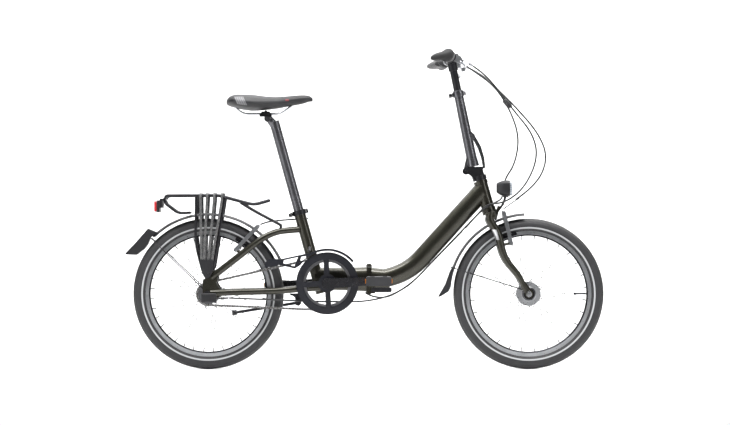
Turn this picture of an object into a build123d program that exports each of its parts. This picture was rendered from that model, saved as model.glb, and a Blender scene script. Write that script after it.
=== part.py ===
from build123d import *
import math
import os

# Folding bicycle. Millimetres, +X forward, +Y to the rider's left, +Z up.
# Every position below is measured from the ground under the rear axle; put() moves each finished
# piece so that the stored origin is on the ground at the middle of the overall length.

# ---- overall layout ----
WHEELBASE = 1062
AXLE_Z = 250
FLAP_REACH = 277
FIT = 0.05
SEAM = 0.3

# ---- wheels ----
TYRE_R = 250
TYRE_W = 47
RIM_R = 210
RIM_IN_R = 192
RIM_W = 25
RIM_LIP = 2
SPOKE_R = 0.9
NIPPLE_R = 1.8
FLANGE_T = 3
REAR_SPOKES = 36
REAR_FLANGE_R = 34
REAR_FLANGE_Y = 29
REAR_HUB_R = 27
REAR_DROPOUT_Y = 58
FRONT_SPOKES = 28
FRONT_FLANGE_R = 40
FRONT_FLANGE_Y = 25
FRONT_HUB_R = 33
FRONT_DROPOUT_Y = 48
AXLE_R = 5
REAR_AXLE_END = 86
DROPOUT_T = 5

# ---- frame ----
BB_X = 395
BB_Z = 285.5
BB_SHELL_R = 19
BB_HALF = 34
CRANK_AXLE_R = 8
SEAT_ANGLE = 15.5
SEAT_X = 337
SEAT_Z = 391.8
SEAT_TUBE_R = 19.5
SEATPOST_R = 16.95
SEAT_TUBE_TOP = 512
SEAT_TUBE_BOTTOM = 252
HINGE_X = 533
HINGE_Y = 50
HINGE_Z = 298
HINGE_HALF_H = 41
HINGE_HALF_W = 38
PLATE_T = 8
KNUCKLE_R = 10
PIN_R = 5
STAY_R = 11
HEAD_ANGLE = 16
STEER_X = 1009.9
HEAD_TUBE_R = 22
HEAD_LOW = 536
HEAD_HIGH = 614
CUP_H = 11
STEERER_R = 14.3

MAIN_CORNER = (647.2, 0, 301.7)
MAIN_END = (925, 0, 609)
MAIN_BEND_R = 215
MAIN_HALF_W = 25
MAIN_HALF_H = 31.5
LATCH_X = 546
LATCH_Y = -46
LATCH_Z = 264
EYELET = (4, 318)
EYELET_R = 2.55

# ---- rim brakes: pivot and cable end of each arm ----
REAR_BOSS = (92.6, 397.3)
REAR_BOSS_Y = 46
REAR_ARM_TOP = (166, 476.3)
FRONT_BOSS = (1003, 418)
FRONT_BOSS_Y = 38
FRONT_ARM_TOP = (979, 523)

# ---- drive train ----
PITCH = 12.7
RING_TEETH = 44
COG_TEETH = 18
LINKS = 94
CHAIN_Y = -42
ROLLER_R = 3.9
ROLLER_HALF = 1.9
PLATE_HALF = 3.1
LINK_H = 8.4
GUARD_R = 103
GUARD_IN_R = 79
CRANK = 170
CRANK_TILT = 3
CRANK_IN = 61
CRANK_OUT = 74
SPINDLE_R = 6
PEDAL_IN = 78
PEDAL_OUT = 168
PEDAL_L = 84
PEDAL_H = 30

# ---- steering column and cockpit ----
POST_ANGLE = 11.7
POST_X = 875.8
POST_Z = 689
POST_PIVOT_X = 855
POST_PIVOT_Z = 657
POST_R_LOW = 18
POST_R_HIGH = 15.7
STEM_R = 13
POST_TOP = 925
BAR_X = 805
BAR_Z = 1031
BAR_R = 11.1
BAR_HALF = 290
BAR_SWEEP = 20
GRIP_IN = 186
SHIFTER_IN = 152

LATCH_HINGE = (880, 770)
LEVER_PIVOT_L = (837, 136, 1012)
LEVER_AXIS = (0.634, 0, 0.773)

# ---- seat, rack and kickstand ----
RAIL_Z = 846.6
SADDLE = [(60, 22, 893, 878), (70, 52, 904, 874), (88, 74, 911, 868), (115, 82, 911.5, 861), (150, 80, 910, 857),
          (190, 62, 905, 861), (228, 40, 903, 865), (265, 27, 907, 871), (305, 22, 910, 879),
          (332, 17, 908, 886), (346, 8, 899, 888)]
RACK_Y = 55
RACK_R = 5.5
KICK = (297, 219)
KICK_L = 222
KICK_DROP = 9

# ---- mudguards ----
GUARD_OUT_R = 268
GUARD_HALF_W = 27
GUARD_T = 2

REAR_X = -(WHEELBASE + TYRE_R - FLAP_REACH) / 2


# ---------------------------------------------------------------- helpers
made = {}


def put(name, *shapes):
    """Write one named node holding one or more separate solids."""
    os.makedirs("parts", exist_ok=True)
    made[name] = list(shapes)
    solids = []
    for shape in shapes:
        solids += list(shape.solids())
    moved = [Pos(REAR_X, 0, 0) * solid for solid in solids]
    body = moved[0] if len(moved) == 1 else Compound(children=moved)
    export_step(body, "parts/" + name + ".step")
    print(name, len(moved), round(sum(s.volume for s in moved) / 1000, 1), "cm3")


def without(shape, *names):
    """The shape less every solid of the named finished nodes."""
    for name in names:
        for other in made[name]:
            shape = shape - other
    return shape


def rod(a, b, radius, bore=0):
    """Round bar or tube from point a to point b."""
    a = Vector(*a)
    b = Vector(*b)
    plane = Plane(origin=a, z_dir=b - a)
    low = (Align.CENTER, Align.CENTER, Align.MIN)
    bar = plane * Cylinder(radius, (b - a).length, align=low)
    if bore:
        bar -= plane * Cylinder(bore, (b - a).length, align=low)
    return bar


def disc(x, z, y0, y1, radius, bore=0):
    """Round plate about a crosswise axis at (x, z), from y0 to y1."""
    return rod((x, y0, z), (x, y1, z), radius, bore)


def pipe(points, bends, radius):
    """Round bar bent through the points, with one bend radius for each inner point."""
    path = FilletPolyline(*points, radius=bends)
    section = Plane(origin=path @ 0, z_dir=path % 0) * Circle(radius)
    return sweep(section, path=path)


def soft_bends(points, share=0.45):
    """Bend radii that use a share of the shorter run beside each corner."""
    radii = []
    for a, b, c in zip(points, points[1:], points[2:]):
        u = Vector(*b) - Vector(*a)
        v = Vector(*c) - Vector(*b)
        half = math.radians(u.get_angle(v)) / 2
        radii.append(round(share * min(u.length, v.length) / math.tan(half), 3))
    return radii


def box(x0, x1, y0, y1, z0, z1):
    return Pos((x0 + x1) / 2, (y0 + y1) / 2, (z0 + z1) / 2) * Box(x1 - x0, y1 - y0, z1 - z0)


def plate(points, y0, y1):
    """Flat plate with its outline given in X and Z, from y0 to y1."""
    face = make_face(Polyline(*[(x, y0, z) for x, z in points], close=True))
    return extrude(face, amount=y1 - y0, dir=(0, 1, 0))


def along(stations):
    """Lofted body through stations (x, z, slope in degrees, width, height)."""
    faces = []
    for x, z, slope, width, height in stations:
        a = math.radians(slope)
        plane = Plane(origin=(x, 0, z), x_dir=(0, 1, 0), z_dir=(math.cos(a), 0, math.sin(a)))
        faces.append(plane * Ellipse(width / 2, height / 2))
    return loft(faces)


def tapered(points, radii):
    """Round bar through the points, with its own radius at each of them."""
    faces = []
    count = len(points)
    for i in range(count):
        ahead = Vector(*points[min(i + 1, count - 1)])
        behind = Vector(*points[max(i - 1, 0)])
        faces.append(Plane(origin=points[i], z_dir=ahead - behind) * Circle(radii[i]))
    return loft(faces)


def spun(points, x, z, turn=360, start=0):
    """Ring about the crosswise axis at (x, z); points are (radius, y), start is the angle from +X."""
    face = make_face(Polyline(*[(x + r, y, z) for r, y in points], close=True))
    ring = revolve(face, axis=Axis((x, 0, z), (0, -1, 0)), revolution_arc=turn)
    return ring.rotate(Axis((x, 0, z), (0, -1, 0)), start)


def mirrored(shape):
    return mirror(shape, about=Plane.XZ)


def hexagon(x, z, y0, y1, across):
    start = Plane(origin=(x, y0, z), z_dir=(0, 1, 0))
    return extrude(start * RegularPolygon(across / 2, 6, major_radius=False), amount=y1 - y0)


def seat_point(height, offset=0):
    """Point on the seat tube's axis at a height, moved forward square to the axis by offset."""
    a = math.radians(SEAT_ANGLE)
    x = SEAT_X - (height - SEAT_Z) * math.tan(a)
    return x + offset * math.cos(a), height + offset * math.sin(a)


def post_point(height, offset=0):
    """Point on the handlepost's axis at a height, moved forward square to the axis by offset."""
    a = math.radians(POST_ANGLE)
    x = POST_X - (height - POST_Z) * math.tan(a)
    return x + offset * math.cos(a), height + offset * math.sin(a)


def steer_point(height):
    return STEER_X - (height - AXLE_Z) * math.tan(math.radians(HEAD_ANGLE)), height


def at(point, y=0):
    return point[0], y, point[1]


# ---------------------------------------------------------------- wheels
def tyre(x):
    half = TYRE_W / 2
    low = RIM_R + SEAM
    outer = [(low, RIM_W / 2 - 1), (216, 17), (222, 21.5), (230, half), (238, 21.8), (244, 17)]
    outer += [(248, 10.5), (249.6, 4.5), (TYRE_R, 0)]
    inner = [(245, 0), (243.5, 8), (238, 15.5), (230, 18.5), (222, 17), (215, 11), (209, 8.5)]
    bead = [(203, 6.5), (203, RIM_W / 2 - RIM_LIP - 0.2), (low, RIM_W / 2 - RIM_LIP - 0.2)]
    left = [(r, -y) for r, y in reversed(outer[:-1])]
    bead_left = [(r, -y) for r, y in reversed(bead)]
    hollow_left = [(r, -y) for r, y in reversed(inner[1:])]
    return spun(outer + left + bead_left + hollow_left + inner + bead, x, AXLE_Z)


def rim(x):
    half = RIM_W / 2
    side = [(RIM_IN_R, 8), (RIM_IN_R + 5, half), (RIM_R, half), (RIM_R, half - RIM_LIP)]
    well = [(RIM_IN_R + 10, half - RIM_LIP), (RIM_IN_R + 8, 6)]
    profile = side + well + [(r, -y) for r, y in reversed(side + well)]
    ring = spun(profile, x, AXLE_Z)
    foot = x + (RIM_IN_R - 0.2)
    valve = rod((foot, 0, AXLE_Z), (foot - 34, 0, AXLE_Z), 3)
    valve += rod((foot - 34, 0, AXLE_Z), (foot - 42, 0, AXLE_Z), 4.2)
    return ring, valve


def spokes(x, count, flange_r, flange_y, turn):
    """Laced spokes: half lean forward and half back, on both faces of both flanges."""
    solids = []
    side_count = count // 2
    seat_r = flange_r - 3
    for side in (1, -1):
        for i in range(side_count):
            lean = 1 if i % 2 else -1
            base = 360 / side_count * (i + (0.25 if side > 0 else 0.75))
            hub_a = math.radians(base + lean * turn)
            rim_a = math.radians(base)
            stand_off = 2.3 if lean > 0 else 0
            hub_y = side * (flange_y + lean * (FLANGE_T / 2 + SPOKE_R + stand_off))
            face_y = side * (flange_y + lean * FLANGE_T / 2)
            start = (x + seat_r * math.cos(hub_a), hub_y, AXLE_Z + seat_r * math.sin(hub_a))
            end_r = RIM_IN_R - 0.45
            end = (x + end_r * math.cos(rim_a), side * 2.5, AXLE_Z + end_r * math.sin(rim_a))
            run = Vector(*end) - Vector(*start)
            neck = Vector(*end) - run.normalized() * 12
            elbow = rod((start[0], face_y, start[2]), (start[0], hub_y + side * lean * SPOKE_R, start[2]), 1.2)
            solids.append(elbow + rod(start, tuple(neck), SPOKE_R) + rod(tuple(neck), end, NIPPLE_R))
    return solids


def hub(x, flange_r, flange_y, barrel_r, neck_r, end_y):
    bore = AXLE_R + FIT
    t = FLANGE_T / 2
    half = [(bore, end_y), (neck_r, end_y), (neck_r + 2, flange_y + t + 4), (neck_r + 6, flange_y + t)]
    half += [(flange_r, flange_y + t), (flange_r, flange_y - t), (barrel_r + 1, flange_y - t)]
    half += [(barrel_r, flange_y - t - 3)]
    profile = half + [(r, -y) for r, y in reversed(half)]
    return spun(profile, x, AXLE_Z)


def axle(x, dropout_y, right, left):
    bar = disc(x, AXLE_Z, -right, left, AXLE_R)
    face = dropout_y + DROPOUT_T / 2
    solids = [bar]
    for side in (1, -1):
        nut = hexagon(x, AXLE_Z, face + 2, face + 11, 15) + disc(x, AXLE_Z, face, face + 2, 10)
        nut -= disc(x, AXLE_Z, face, face + 11, AXLE_R)
        solids.append(nut if side > 0 else mirrored(nut))
    return solids


def build_wheels():
    for name, x in (("rear", 0), ("front", WHEELBASE)):
        put(name + "_tyre", tyre(x))
        put(name + "_rim", *rim(x))
    put("rear_spokes", *spokes(0, REAR_SPOKES, REAR_FLANGE_R, REAR_FLANGE_Y, 68))
    put("front_spokes", *spokes(WHEELBASE, FRONT_SPOKES, FRONT_FLANGE_R, FRONT_FLANGE_Y, 54))
    rear = hub(0, REAR_FLANGE_R, REAR_FLANGE_Y, REAR_HUB_R, 17, 38)
    put("rear_hub", rear)
    front = hub(WHEELBASE, FRONT_FLANGE_R, FRONT_FLANGE_Y, FRONT_HUB_R, 18, 43)
    put("front_hub", front)
    put("rear_axle", *axle(0, REAR_DROPOUT_Y, 74, REAR_AXLE_END))
    put("front_axle", *axle(WHEELBASE, FRONT_DROPOUT_Y, 63, 63))


# ---------------------------------------------------------------- frame
def arm_axes(boss, top, outward):
    """Unit vectors along a brake arm and along its pivot, away from the frame."""
    length = math.hypot(top[0] - boss[0], top[1] - boss[1])
    ux = (top[0] - boss[0]) / length
    uz = (top[1] - boss[1]) / length
    return ux, uz, outward * uz, -outward * ux


def brake_stud(boss, y, top, outward):
    ux, uz, nx, nz = arm_axes(boss, top, outward)
    start = (boss[0] - 24 * nx, y, boss[1] - 24 * nz)
    return rod(start, (boss[0] + 7 * nx, y, boss[1] + 7 * nz), 4)


def seat_rod(z0, z1, radius, bore=0):
    return rod(at(seat_point(z0)), at(seat_point(z1)), radius, bore)


def build_rear_frame():
    seat_tube = seat_rod(SEAT_TUBE_BOTTOM, SEAT_TUBE_TOP, SEAT_TUBE_R)
    solid_seat = seat_rod(SEAT_TUBE_BOTTOM - 40, SEAT_TUBE_TOP + 40, SEAT_TUBE_R)
    post_bore = seat_rod(SEAT_TUBE_BOTTOM - 60, SEAT_TUBE_TOP + 60, SEATPOST_R + FIT)

    shell = disc(BB_X, BB_Z, -BB_HALF, BB_HALF, BB_SHELL_R)
    cups = disc(BB_X, BB_Z, -BB_HALF - 4, BB_HALF + 4, BB_SHELL_R - 2)
    x_plate = HINGE_X - SEAM / 2
    tube_end = x_plate - PLATE_T
    tube = along([(352, 300, 0, 44, 74), (440, 299, 0, 46, 76), (tube_end, HINGE_Z, 0, 50, 82)])
    z0 = HINGE_Z - HINGE_HALF_H
    z1 = HINGE_Z + HINGE_HALF_H
    plate_rear = box(tube_end, x_plate, -HINGE_HALF_W, HINGE_Y, z0, z1)
    knuckle_lo = rod((HINGE_X, HINGE_Y, z0 - 6), (HINGE_X, HINGE_Y, z0 + 20), KNUCKLE_R)
    knuckle_hi = rod((HINGE_X, HINGE_Y, z1 - 20), (HINGE_X, HINGE_Y, z1 + 6), KNUCKLE_R)
    middle = rod((HINGE_X, HINGE_Y, z0 + 20), (HINGE_X, HINGE_Y, z1 - 20), KNUCKLE_R + 0.5)
    plate_rear -= middle
    body = tube + shell + cups + plate_rear + knuckle_lo + knuckle_hi
    body -= solid_seat
    body -= disc(BB_X, BB_Z, -50, 50, CRANK_AXLE_R + FIT)
    body -= rod((HINGE_X, HINGE_Y, z0 - 10), (HINGE_X, HINGE_Y, z1 + 10), PIN_R)
    pin = rod((HINGE_X, HINGE_Y, z0 - 6), (HINGE_X, HINGE_Y, z1 + 6), PIN_R)
    pin += rod((HINGE_X, HINGE_Y, z1 + 6), (HINGE_X, HINGE_Y, z1 + 10), PIN_R + 2.5)
    pin += rod((HINGE_X, HINGE_Y, z0 - 10), (HINGE_X, HINGE_Y, z0 - 6), PIN_R + 2.5)
    put("rear_main_tube", body, pin)
    put("seat_tube", seat_tube - post_bore - disc(BB_X, BB_Z, -50, 50, CRANK_AXLE_R + FIT))

    stay_pts = [(11, 56, 304.4), (100, 49, 373.2), (152, 46, 414.5), (192, 41, 442)]
    stay_pts += [(232, 27, 457.5), (300, 9, 463.5)]
    seat_stay = pipe(stay_pts, soft_bends(stay_pts), STAY_R)
    chain_pts = [(8, 56, 253), (80, 54, 256), (235, 39.5, 260), (296, 25, 266), (372, 22, 271)]
    chain_stay = pipe(chain_pts, soft_bends(chain_pts), STAY_R)
    d0 = REAR_DROPOUT_Y - DROPOUT_T / 2
    d1 = REAR_DROPOUT_Y + DROPOUT_T / 2
    outline = [(-17, 238), (12, 226), (42, 241), (44, 262), (30, 285), (36, 318), (16, 330)]
    outline += [(-2, 308), (-16, 296)]
    drop = plate(outline, d0, d1)
    slot = disc(0, AXLE_Z, d0 - 1, d1 + 1, AXLE_R)
    eyelet = disc(EYELET[0], EYELET[1], d0, d1 + 3, 6)
    eyelet_hole = disc(EYELET[0], EYELET[1], d0 - 1, d1 + 4, EYELET_R)
    drop = drop + eyelet - slot - eyelet_hole
    chain_stay = chain_stay - drop - solid_seat - shell - cups - tube
    chain_stay -= disc(0, AXLE_Z, 0, 90, 12)
    seat_stay = seat_stay - drop - solid_seat - disc(0, AXLE_Z, 0, 90, 12)
    seat_stay += brake_stud(REAR_BOSS, REAR_BOSS_Y, REAR_ARM_TOP, -1)
    bridge = rod((228, -34, 459), (228, 34, 459), 7)
    put("seat_stays", seat_stay + mirrored(seat_stay) + bridge)
    lower_bridge = rod((288, -30, 265), (288, 30, 265), 8)
    put("chainstays", chain_stay + drop + mirrored(chain_stay) + mirrored(drop) + lower_bridge)


def quick_clamp(point, slope, tube_r, drop_z):
    """Split collar, skewer and lever of a quick release, about a tube axis that leans back by slope."""
    a = math.radians(slope)
    up = Vector(-math.sin(a), 0, math.cos(a))
    fore = Vector(math.cos(a), 0, math.sin(a))
    mid = Vector(*at(point))
    side = Vector(0, 1, 0)
    collar_r = tube_r + 4
    low = mid - up * drop_z
    high = mid + up * drop_z
    ring = rod(tuple(low), tuple(high), collar_r)
    y_skew = collar_r + 5
    skew = mid + side * y_skew
    for end in (-1, 1):
        ear_a = skew + fore * (end * 9)
        ear_b = skew + fore * (end * 2)
        ring += rod(tuple(ear_a), tuple(ear_b), 8)
        web = Plane(origin=(ear_a + ear_b) * 0.5 - side * 6, x_dir=(0, 1, 0), z_dir=fore)
        ring += web * Box(14, 2 * drop_z - 2, 7)
    slit = Plane(origin=skew - side * 8, x_dir=(0, 1, 0), z_dir=fore)
    ring -= slit * Box(30, 3 * drop_z, 3)
    ring -= rod(tuple(low - up * 30), tuple(high + up * 30), tube_r)
    ring -= rod(tuple(skew - fore * 40), tuple(skew + fore * 40), 2.6)
    pin_back = skew - fore * (collar_r + 6)
    skewer = rod(tuple(pin_back), tuple(skew + fore * (collar_r + 4)), 2.5)
    skewer += rod(tuple(skew + fore * (collar_r - 4)), tuple(skew + fore * (collar_r + 6)), 8)
    skewer += rod(tuple(pin_back - up * 7), tuple(pin_back + up * 7), 3)
    cam_hole = rod(tuple(pin_back - up * 20), tuple(pin_back + up * 20), 3 + FIT)
    lever = rod(tuple(pin_back - up * 6), tuple(pin_back + up * 6), 7)
    tip = pin_back - side * 48 - fore * 3
    blade = Plane(origin=(pin_back + tip) * 0.5, x_dir=tip - pin_back, z_dir=up)
    lever += blade * Box((tip - pin_back).length, 5, 10)
    lever += rod(tuple(tip - up * 5), tuple(tip + up * 5), 4)
    lever -= cam_hole
    lever -= rod(tuple(pin_back - up * 2.8), tuple(pin_back + up * 2.8), 8.5)
    return ring, skewer, lever


def build_front_frame():
    x_plate = HINGE_X + SEAM / 2
    z0 = HINGE_Z - HINGE_HALF_H
    z1 = HINGE_Z + HINGE_HALF_H
    tube_start = x_plate + PLATE_T
    bend = [(tube_start, 0, HINGE_Z), MAIN_CORNER, MAIN_END]
    spine = FilletPolyline(*bend, radius=MAIN_BEND_R)
    mouth = Plane(origin=spine @ 0, x_dir=(0, 1, 0), z_dir=spine % 0)
    tube = sweep(mouth * Ellipse(MAIN_HALF_W, MAIN_HALF_H), path=spine)
    tube += along([(tube_start, HINGE_Z, 0, 52, 78), (600, HINGE_Z + 2, 2, 2 * MAIN_HALF_W, 2 * MAIN_HALF_H + 0.4)])
    head_a = steer_point(HEAD_LOW)
    head_b = steer_point(HEAD_HIGH)
    outer = rod(at(steer_point(HEAD_LOW - 60)), at(steer_point(HEAD_HIGH + 60)), HEAD_TUBE_R)
    tilt = math.radians(HEAD_ANGLE)
    fore = Vector(math.cos(tilt), 0, math.sin(tilt))
    ahead = Plane(origin=Vector(*at(steer_point(575))) + fore * 100, z_dir=fore) * Box(300, 300, 200)
    tube = tube - outer - ahead
    flange = box(x_plate, tube_start, -HINGE_HALF_W, HINGE_Y, z0, z1)
    for low, high in ((z0 - 10, z0 + 20.3), (z1 - 20.3, z1 + 10)):
        flange -= rod((HINGE_X, HINGE_Y, low), (HINGE_X, HINGE_Y, high), KNUCKLE_R + 0.5)
    knuckle = rod((HINGE_X, HINGE_Y, z0 + 20.3), (HINGE_X, HINGE_Y, z1 - 20.3), KNUCKLE_R)
    lug = box(x_plate + 1, x_plate + 20, LATCH_Y - 6, LATCH_Y + 22, LATCH_Z - 12, LATCH_Z + 12)
    lug -= box(x_plate - 5, x_plate + 40, LATCH_Y - 20, LATCH_Y + 6.5, LATCH_Z - 8.3, LATCH_Z + 8.3)
    lug -= rod((LATCH_X, LATCH_Y, LATCH_Z - 20), (LATCH_X, LATCH_Y, LATCH_Z + 20), 3)
    body = tube + flange + knuckle + lug
    body -= rod((HINGE_X, HINGE_Y, z0 - 10), (HINGE_X, HINGE_Y, z1 + 10), PIN_R + FIT)
    low = at(head_a)
    high = at(head_b)
    head = rod(low, high, HEAD_TUBE_R)
    head += rod(at(steer_point(HEAD_LOW - CUP_H)), low, HEAD_TUBE_R + 2)
    head += rod(high, at(steer_point(HEAD_HIGH + CUP_H)), HEAD_TUBE_R + 2)
    head -= rod(at(steer_point(HEAD_LOW - 50)), at(steer_point(HEAD_HIGH + 50)), STEERER_R + FIT)
    put("head_tube", head)

    lever = box(LATCH_X, LATCH_X + 62, LATCH_Y - 5, LATCH_Y + 1.5, LATCH_Z - 8, LATCH_Z + 8)
    lever = fillet(lever.edges().filter_by(Axis.Y).group_by(Axis.X)[-1], 5)
    lever += rod((LATCH_X, LATCH_Y, LATCH_Z - 8), (LATCH_X, LATCH_Y, LATCH_Z + 8), 6)
    lever -= rod((LATCH_X, LATCH_Y, LATCH_Z - 20), (LATCH_X, LATCH_Y, LATCH_Z + 20), 3 + FIT)
    pin = rod((LATCH_X, LATCH_Y, LATCH_Z - 12), (LATCH_X, LATCH_Y, LATCH_Z + 12), 3)
    put("frame_latch_lever", lever)
    cup_a = at(steer_point(HEAD_LOW - CUP_H - 1))
    cup_b = at(steer_point(HEAD_HIGH + CUP_H + 1))
    body -= rod(cup_a, low, HEAD_TUBE_R + 2)
    body -= rod(high, cup_b, HEAD_TUBE_R + 2)
    put("main_tube", body, pin)


# ---------------------------------------------------------------- drive train
def chain_layout():
    """Tangent points of the chain on both sprockets, and a point and slope at any length along it."""
    ring_r = RING_TEETH * PITCH / (2 * math.pi)
    cog_r = COG_TEETH * PITCH / (2 * math.pi)
    dx = BB_X
    dz = BB_Z - AXLE_Z
    gap = math.hypot(dx, dz)
    lean = math.atan2(dz, dx)
    spread = math.asin((ring_r - cog_r) / gap)
    top = lean + math.pi / 2 + spread
    low = lean - math.pi / 2 - spread
    run = math.sqrt(gap ** 2 - (ring_r - cog_r) ** 2)
    ring_arc = ring_r * (top - low)
    cog_arc = cog_r * (2 * math.pi - (top - low))
    return ring_r, cog_r, top, low, run, ring_arc, cog_arc


def chain_point(length):
    """Point (x, z) and travel direction, starting where the upper run leaves the cog."""
    ring_r, cog_r, top, low, run, ring_arc, cog_arc = chain_layout()
    x0 = cog_r * math.cos(top)
    z0 = AXLE_Z + cog_r * math.sin(top)
    x1 = BB_X + ring_r * math.cos(top)
    z1 = BB_Z + ring_r * math.sin(top)
    if length < run:
        t = length / run
        return x0 + (x1 - x0) * t, z0 + (z1 - z0) * t
    length -= run
    if length < ring_arc:
        a = top - length / ring_r
        return BB_X + ring_r * math.cos(a), BB_Z + ring_r * math.sin(a)
    length -= ring_arc
    x2 = BB_X + ring_r * math.cos(low)
    z2 = BB_Z + ring_r * math.sin(low)
    x3 = cog_r * math.cos(low)
    z3 = AXLE_Z + cog_r * math.sin(low)
    if length < run:
        t = length / run
        return x2 + (x3 - x2) * t, z2 + (z3 - z2) * t
    length -= run
    a = low - length / cog_r
    return cog_r * math.cos(a), AXLE_Z + cog_r * math.sin(a)


def toothed(x, z, teeth, phase, bore, half):
    pitch_r = teeth * PITCH / (2 * math.pi)
    wheel = disc(x, z, CHAIN_Y - half, CHAIN_Y + half, pitch_r + 3.2, bore)
    seats = []
    for i in range(teeth):
        a = phase + 2 * math.pi * i / teeth
        sx = x + pitch_r * math.cos(a)
        sz = z + pitch_r * math.sin(a)
        seats.append(disc(sx, sz, CHAIN_Y - 2 * half, CHAIN_Y + 2 * half, ROLLER_R + 0.25))
    return wheel - seats


def build_drive():
    ring_r, cog_r, top, low, run, ring_arc, cog_arc = chain_layout()
    total = 2 * run + ring_arc + cog_arc
    step = total / LINKS
    print("chain", round(total, 1), "mm, pitch", round(step, 3))
    first_on_ring = math.ceil(run / step) * step
    ring_phase = top - (first_on_ring - run) / ring_r
    before_cog = 2 * run + ring_arc
    first_on_cog = math.ceil(before_cog / step) * step
    cog_phase = low - (first_on_cog - before_cog) / cog_r

    solids = []
    for i in range(LINKS):
        ax, az = chain_point(i * step)
        bx, bz = chain_point(((i + 1) % LINKS) * step)
        solids.append(disc(ax, az, CHAIN_Y - ROLLER_HALF, CHAIN_Y + ROLLER_HALF, ROLLER_R))
        shift = 0 if i % 2 else 1.1
        for side in (1, -1):
            y0 = CHAIN_Y + side * (ROLLER_HALF + shift)
            y1 = y0 + side * 1.05
            y0, y1 = min(y0, y1), max(y0, y1)
            mid = ((ax + bx) / 2, y0, (az + bz) / 2)
            direction = Vector(bx - ax, 0, bz - az)
            face = Plane(origin=mid, x_dir=direction, z_dir=(0, 1, 0))
            shape = SlotCenterToCenter(direction.length, LINK_H - 1)
            solids.append(extrude(face * shape, amount=y1 - y0))
    put("chain", *solids)

    rollers = [chain_point(i * step) for i in range(LINKS)]
    room = ROLLER_R + 0.1
    ring = toothed(BB_X, BB_Z, RING_TEETH, ring_phase, 70, 1.1)
    ring -= [disc(x, z, -60, -30, room) for x, z in rollers if x > BB_X - 60]
    put("chainring", ring)
    cog = toothed(0, AXLE_Z, COG_TEETH, cog_phase, 17.5, 1.1)
    cog -= [disc(x, z, -60, -30, room) for x, z in rollers if x < 50]
    cog += disc(0, AXLE_Z, CHAIN_Y - 2.5, CHAIN_Y + 2.5, 26, 17.5)
    put("rear_sprocket", cog)

    plate_in = CHAIN_Y - 1.1
    spider_out = plate_in - 4
    guard = disc(BB_X, BB_Z, spider_out - 2, spider_out, GUARD_R, GUARD_IN_R)
    lip = disc(BB_X, BB_Z, spider_out - 2, spider_out + 0.8, GUARD_R, GUARD_R - 2)
    guard += lip
    hub_disc = disc(BB_X, BB_Z, spider_out - 2, plate_in, 30)
    guard += hub_disc
    for i in range(4):
        arm = box(BB_X, BB_X + GUARD_IN_R + 5, spider_out, plate_in, BB_Z - 9, BB_Z + 9)
        arm += box(BB_X, BB_X + GUARD_IN_R + 5, spider_out - 2, spider_out, BB_Z - 9, BB_Z + 9)
        guard += arm.rotate(Axis((BB_X, 0, BB_Z), (0, -1, 0)), CRANK_TILT + 90 * i)
    guard -= disc(BB_X, BB_Z, -70, -30, 17)
    put("chainring_guard", guard)

    for name, side in (("right", 1), ("left", -1)):
        a = math.radians(CRANK_TILT)
        px = BB_X + side * CRANK * math.cos(a)
        pz = BB_Z + side * CRANK * math.sin(a)
        ux = side * math.cos(a)
        uz = side * math.sin(a)
        arm = plate([(BB_X - 16.5 * uz, BB_Z + 16.5 * ux), (px - 12.5 * uz, pz + 12.5 * ux),
                     (px + 12.5 * uz, pz - 12.5 * ux), (BB_X + 16.5 * uz, BB_Z - 16.5 * ux)],
                    -CRANK_OUT, -CRANK_IN)
        arm += disc(BB_X, BB_Z, -CRANK_OUT, -CRANK_IN, 18) + disc(px, pz, -CRANK_OUT, -CRANK_IN, 13)
        arm += disc(BB_X, BB_Z, -CRANK_IN, -40, 17)
        arm -= disc(px, pz, -CRANK_OUT - 5, -CRANK_IN + 5, SPINDLE_R)
        spindle = disc(px, pz, -PEDAL_OUT + 6, -CRANK_IN, SPINDLE_R)
        spindle += disc(px, pz, -CRANK_OUT - 3, -CRANK_OUT, 9)
        arm -= disc(BB_X, BB_Z, -CRANK_OUT + 3, -30, CRANK_AXLE_R)
        pieces = [arm, spindle]
        pedal_parts = pedal(px, pz)
        if side > 0:
            pieces.append(disc(BB_X, BB_Z, -CRANK_OUT + 3, CRANK_OUT - 3, CRANK_AXLE_R))
            put("right_crank", *pieces)
            put("right_pedal", *pedal_parts)
        else:
            put("left_crank", *[mirrored(p) for p in pieces])
            put("left_pedal", *[mirrored(p) for p in pedal_parts])


def pedal(x, z):
    half = PEDAL_L / 2
    h = PEDAL_H / 2
    y0 = -PEDAL_OUT
    y1 = -PEDAL_IN
    body = box(x - half, x + half, y0, y1, z - h, z + h)
    body = fillet(body.edges().filter_by(Axis.Y), 7)
    body -= box(x + 13, x + half - 14, y0 + 9, y1 - 9, z - 2 * h, z + 2 * h)
    body -= box(x - half + 14, x - 13, y0 + 9, y1 - 9, z - 2 * h, z + 2 * h)
    mid = (y0 + y1) / 2
    body += box(x - half + 10, x + half - 10, mid - 4, mid + 4, z - h, z + h)
    body -= disc(x, z, y0 + 4, y1 + 20, SPINDLE_R + FIT)
    parts = [body]
    for side in (1, -1):
        face = x + side * half
        parts.append(box(min(face, face + side * 2.5), max(face, face + side * 2.5), y0 + 12, y1 - 12, z - 7, z + 7))
    return parts


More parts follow.
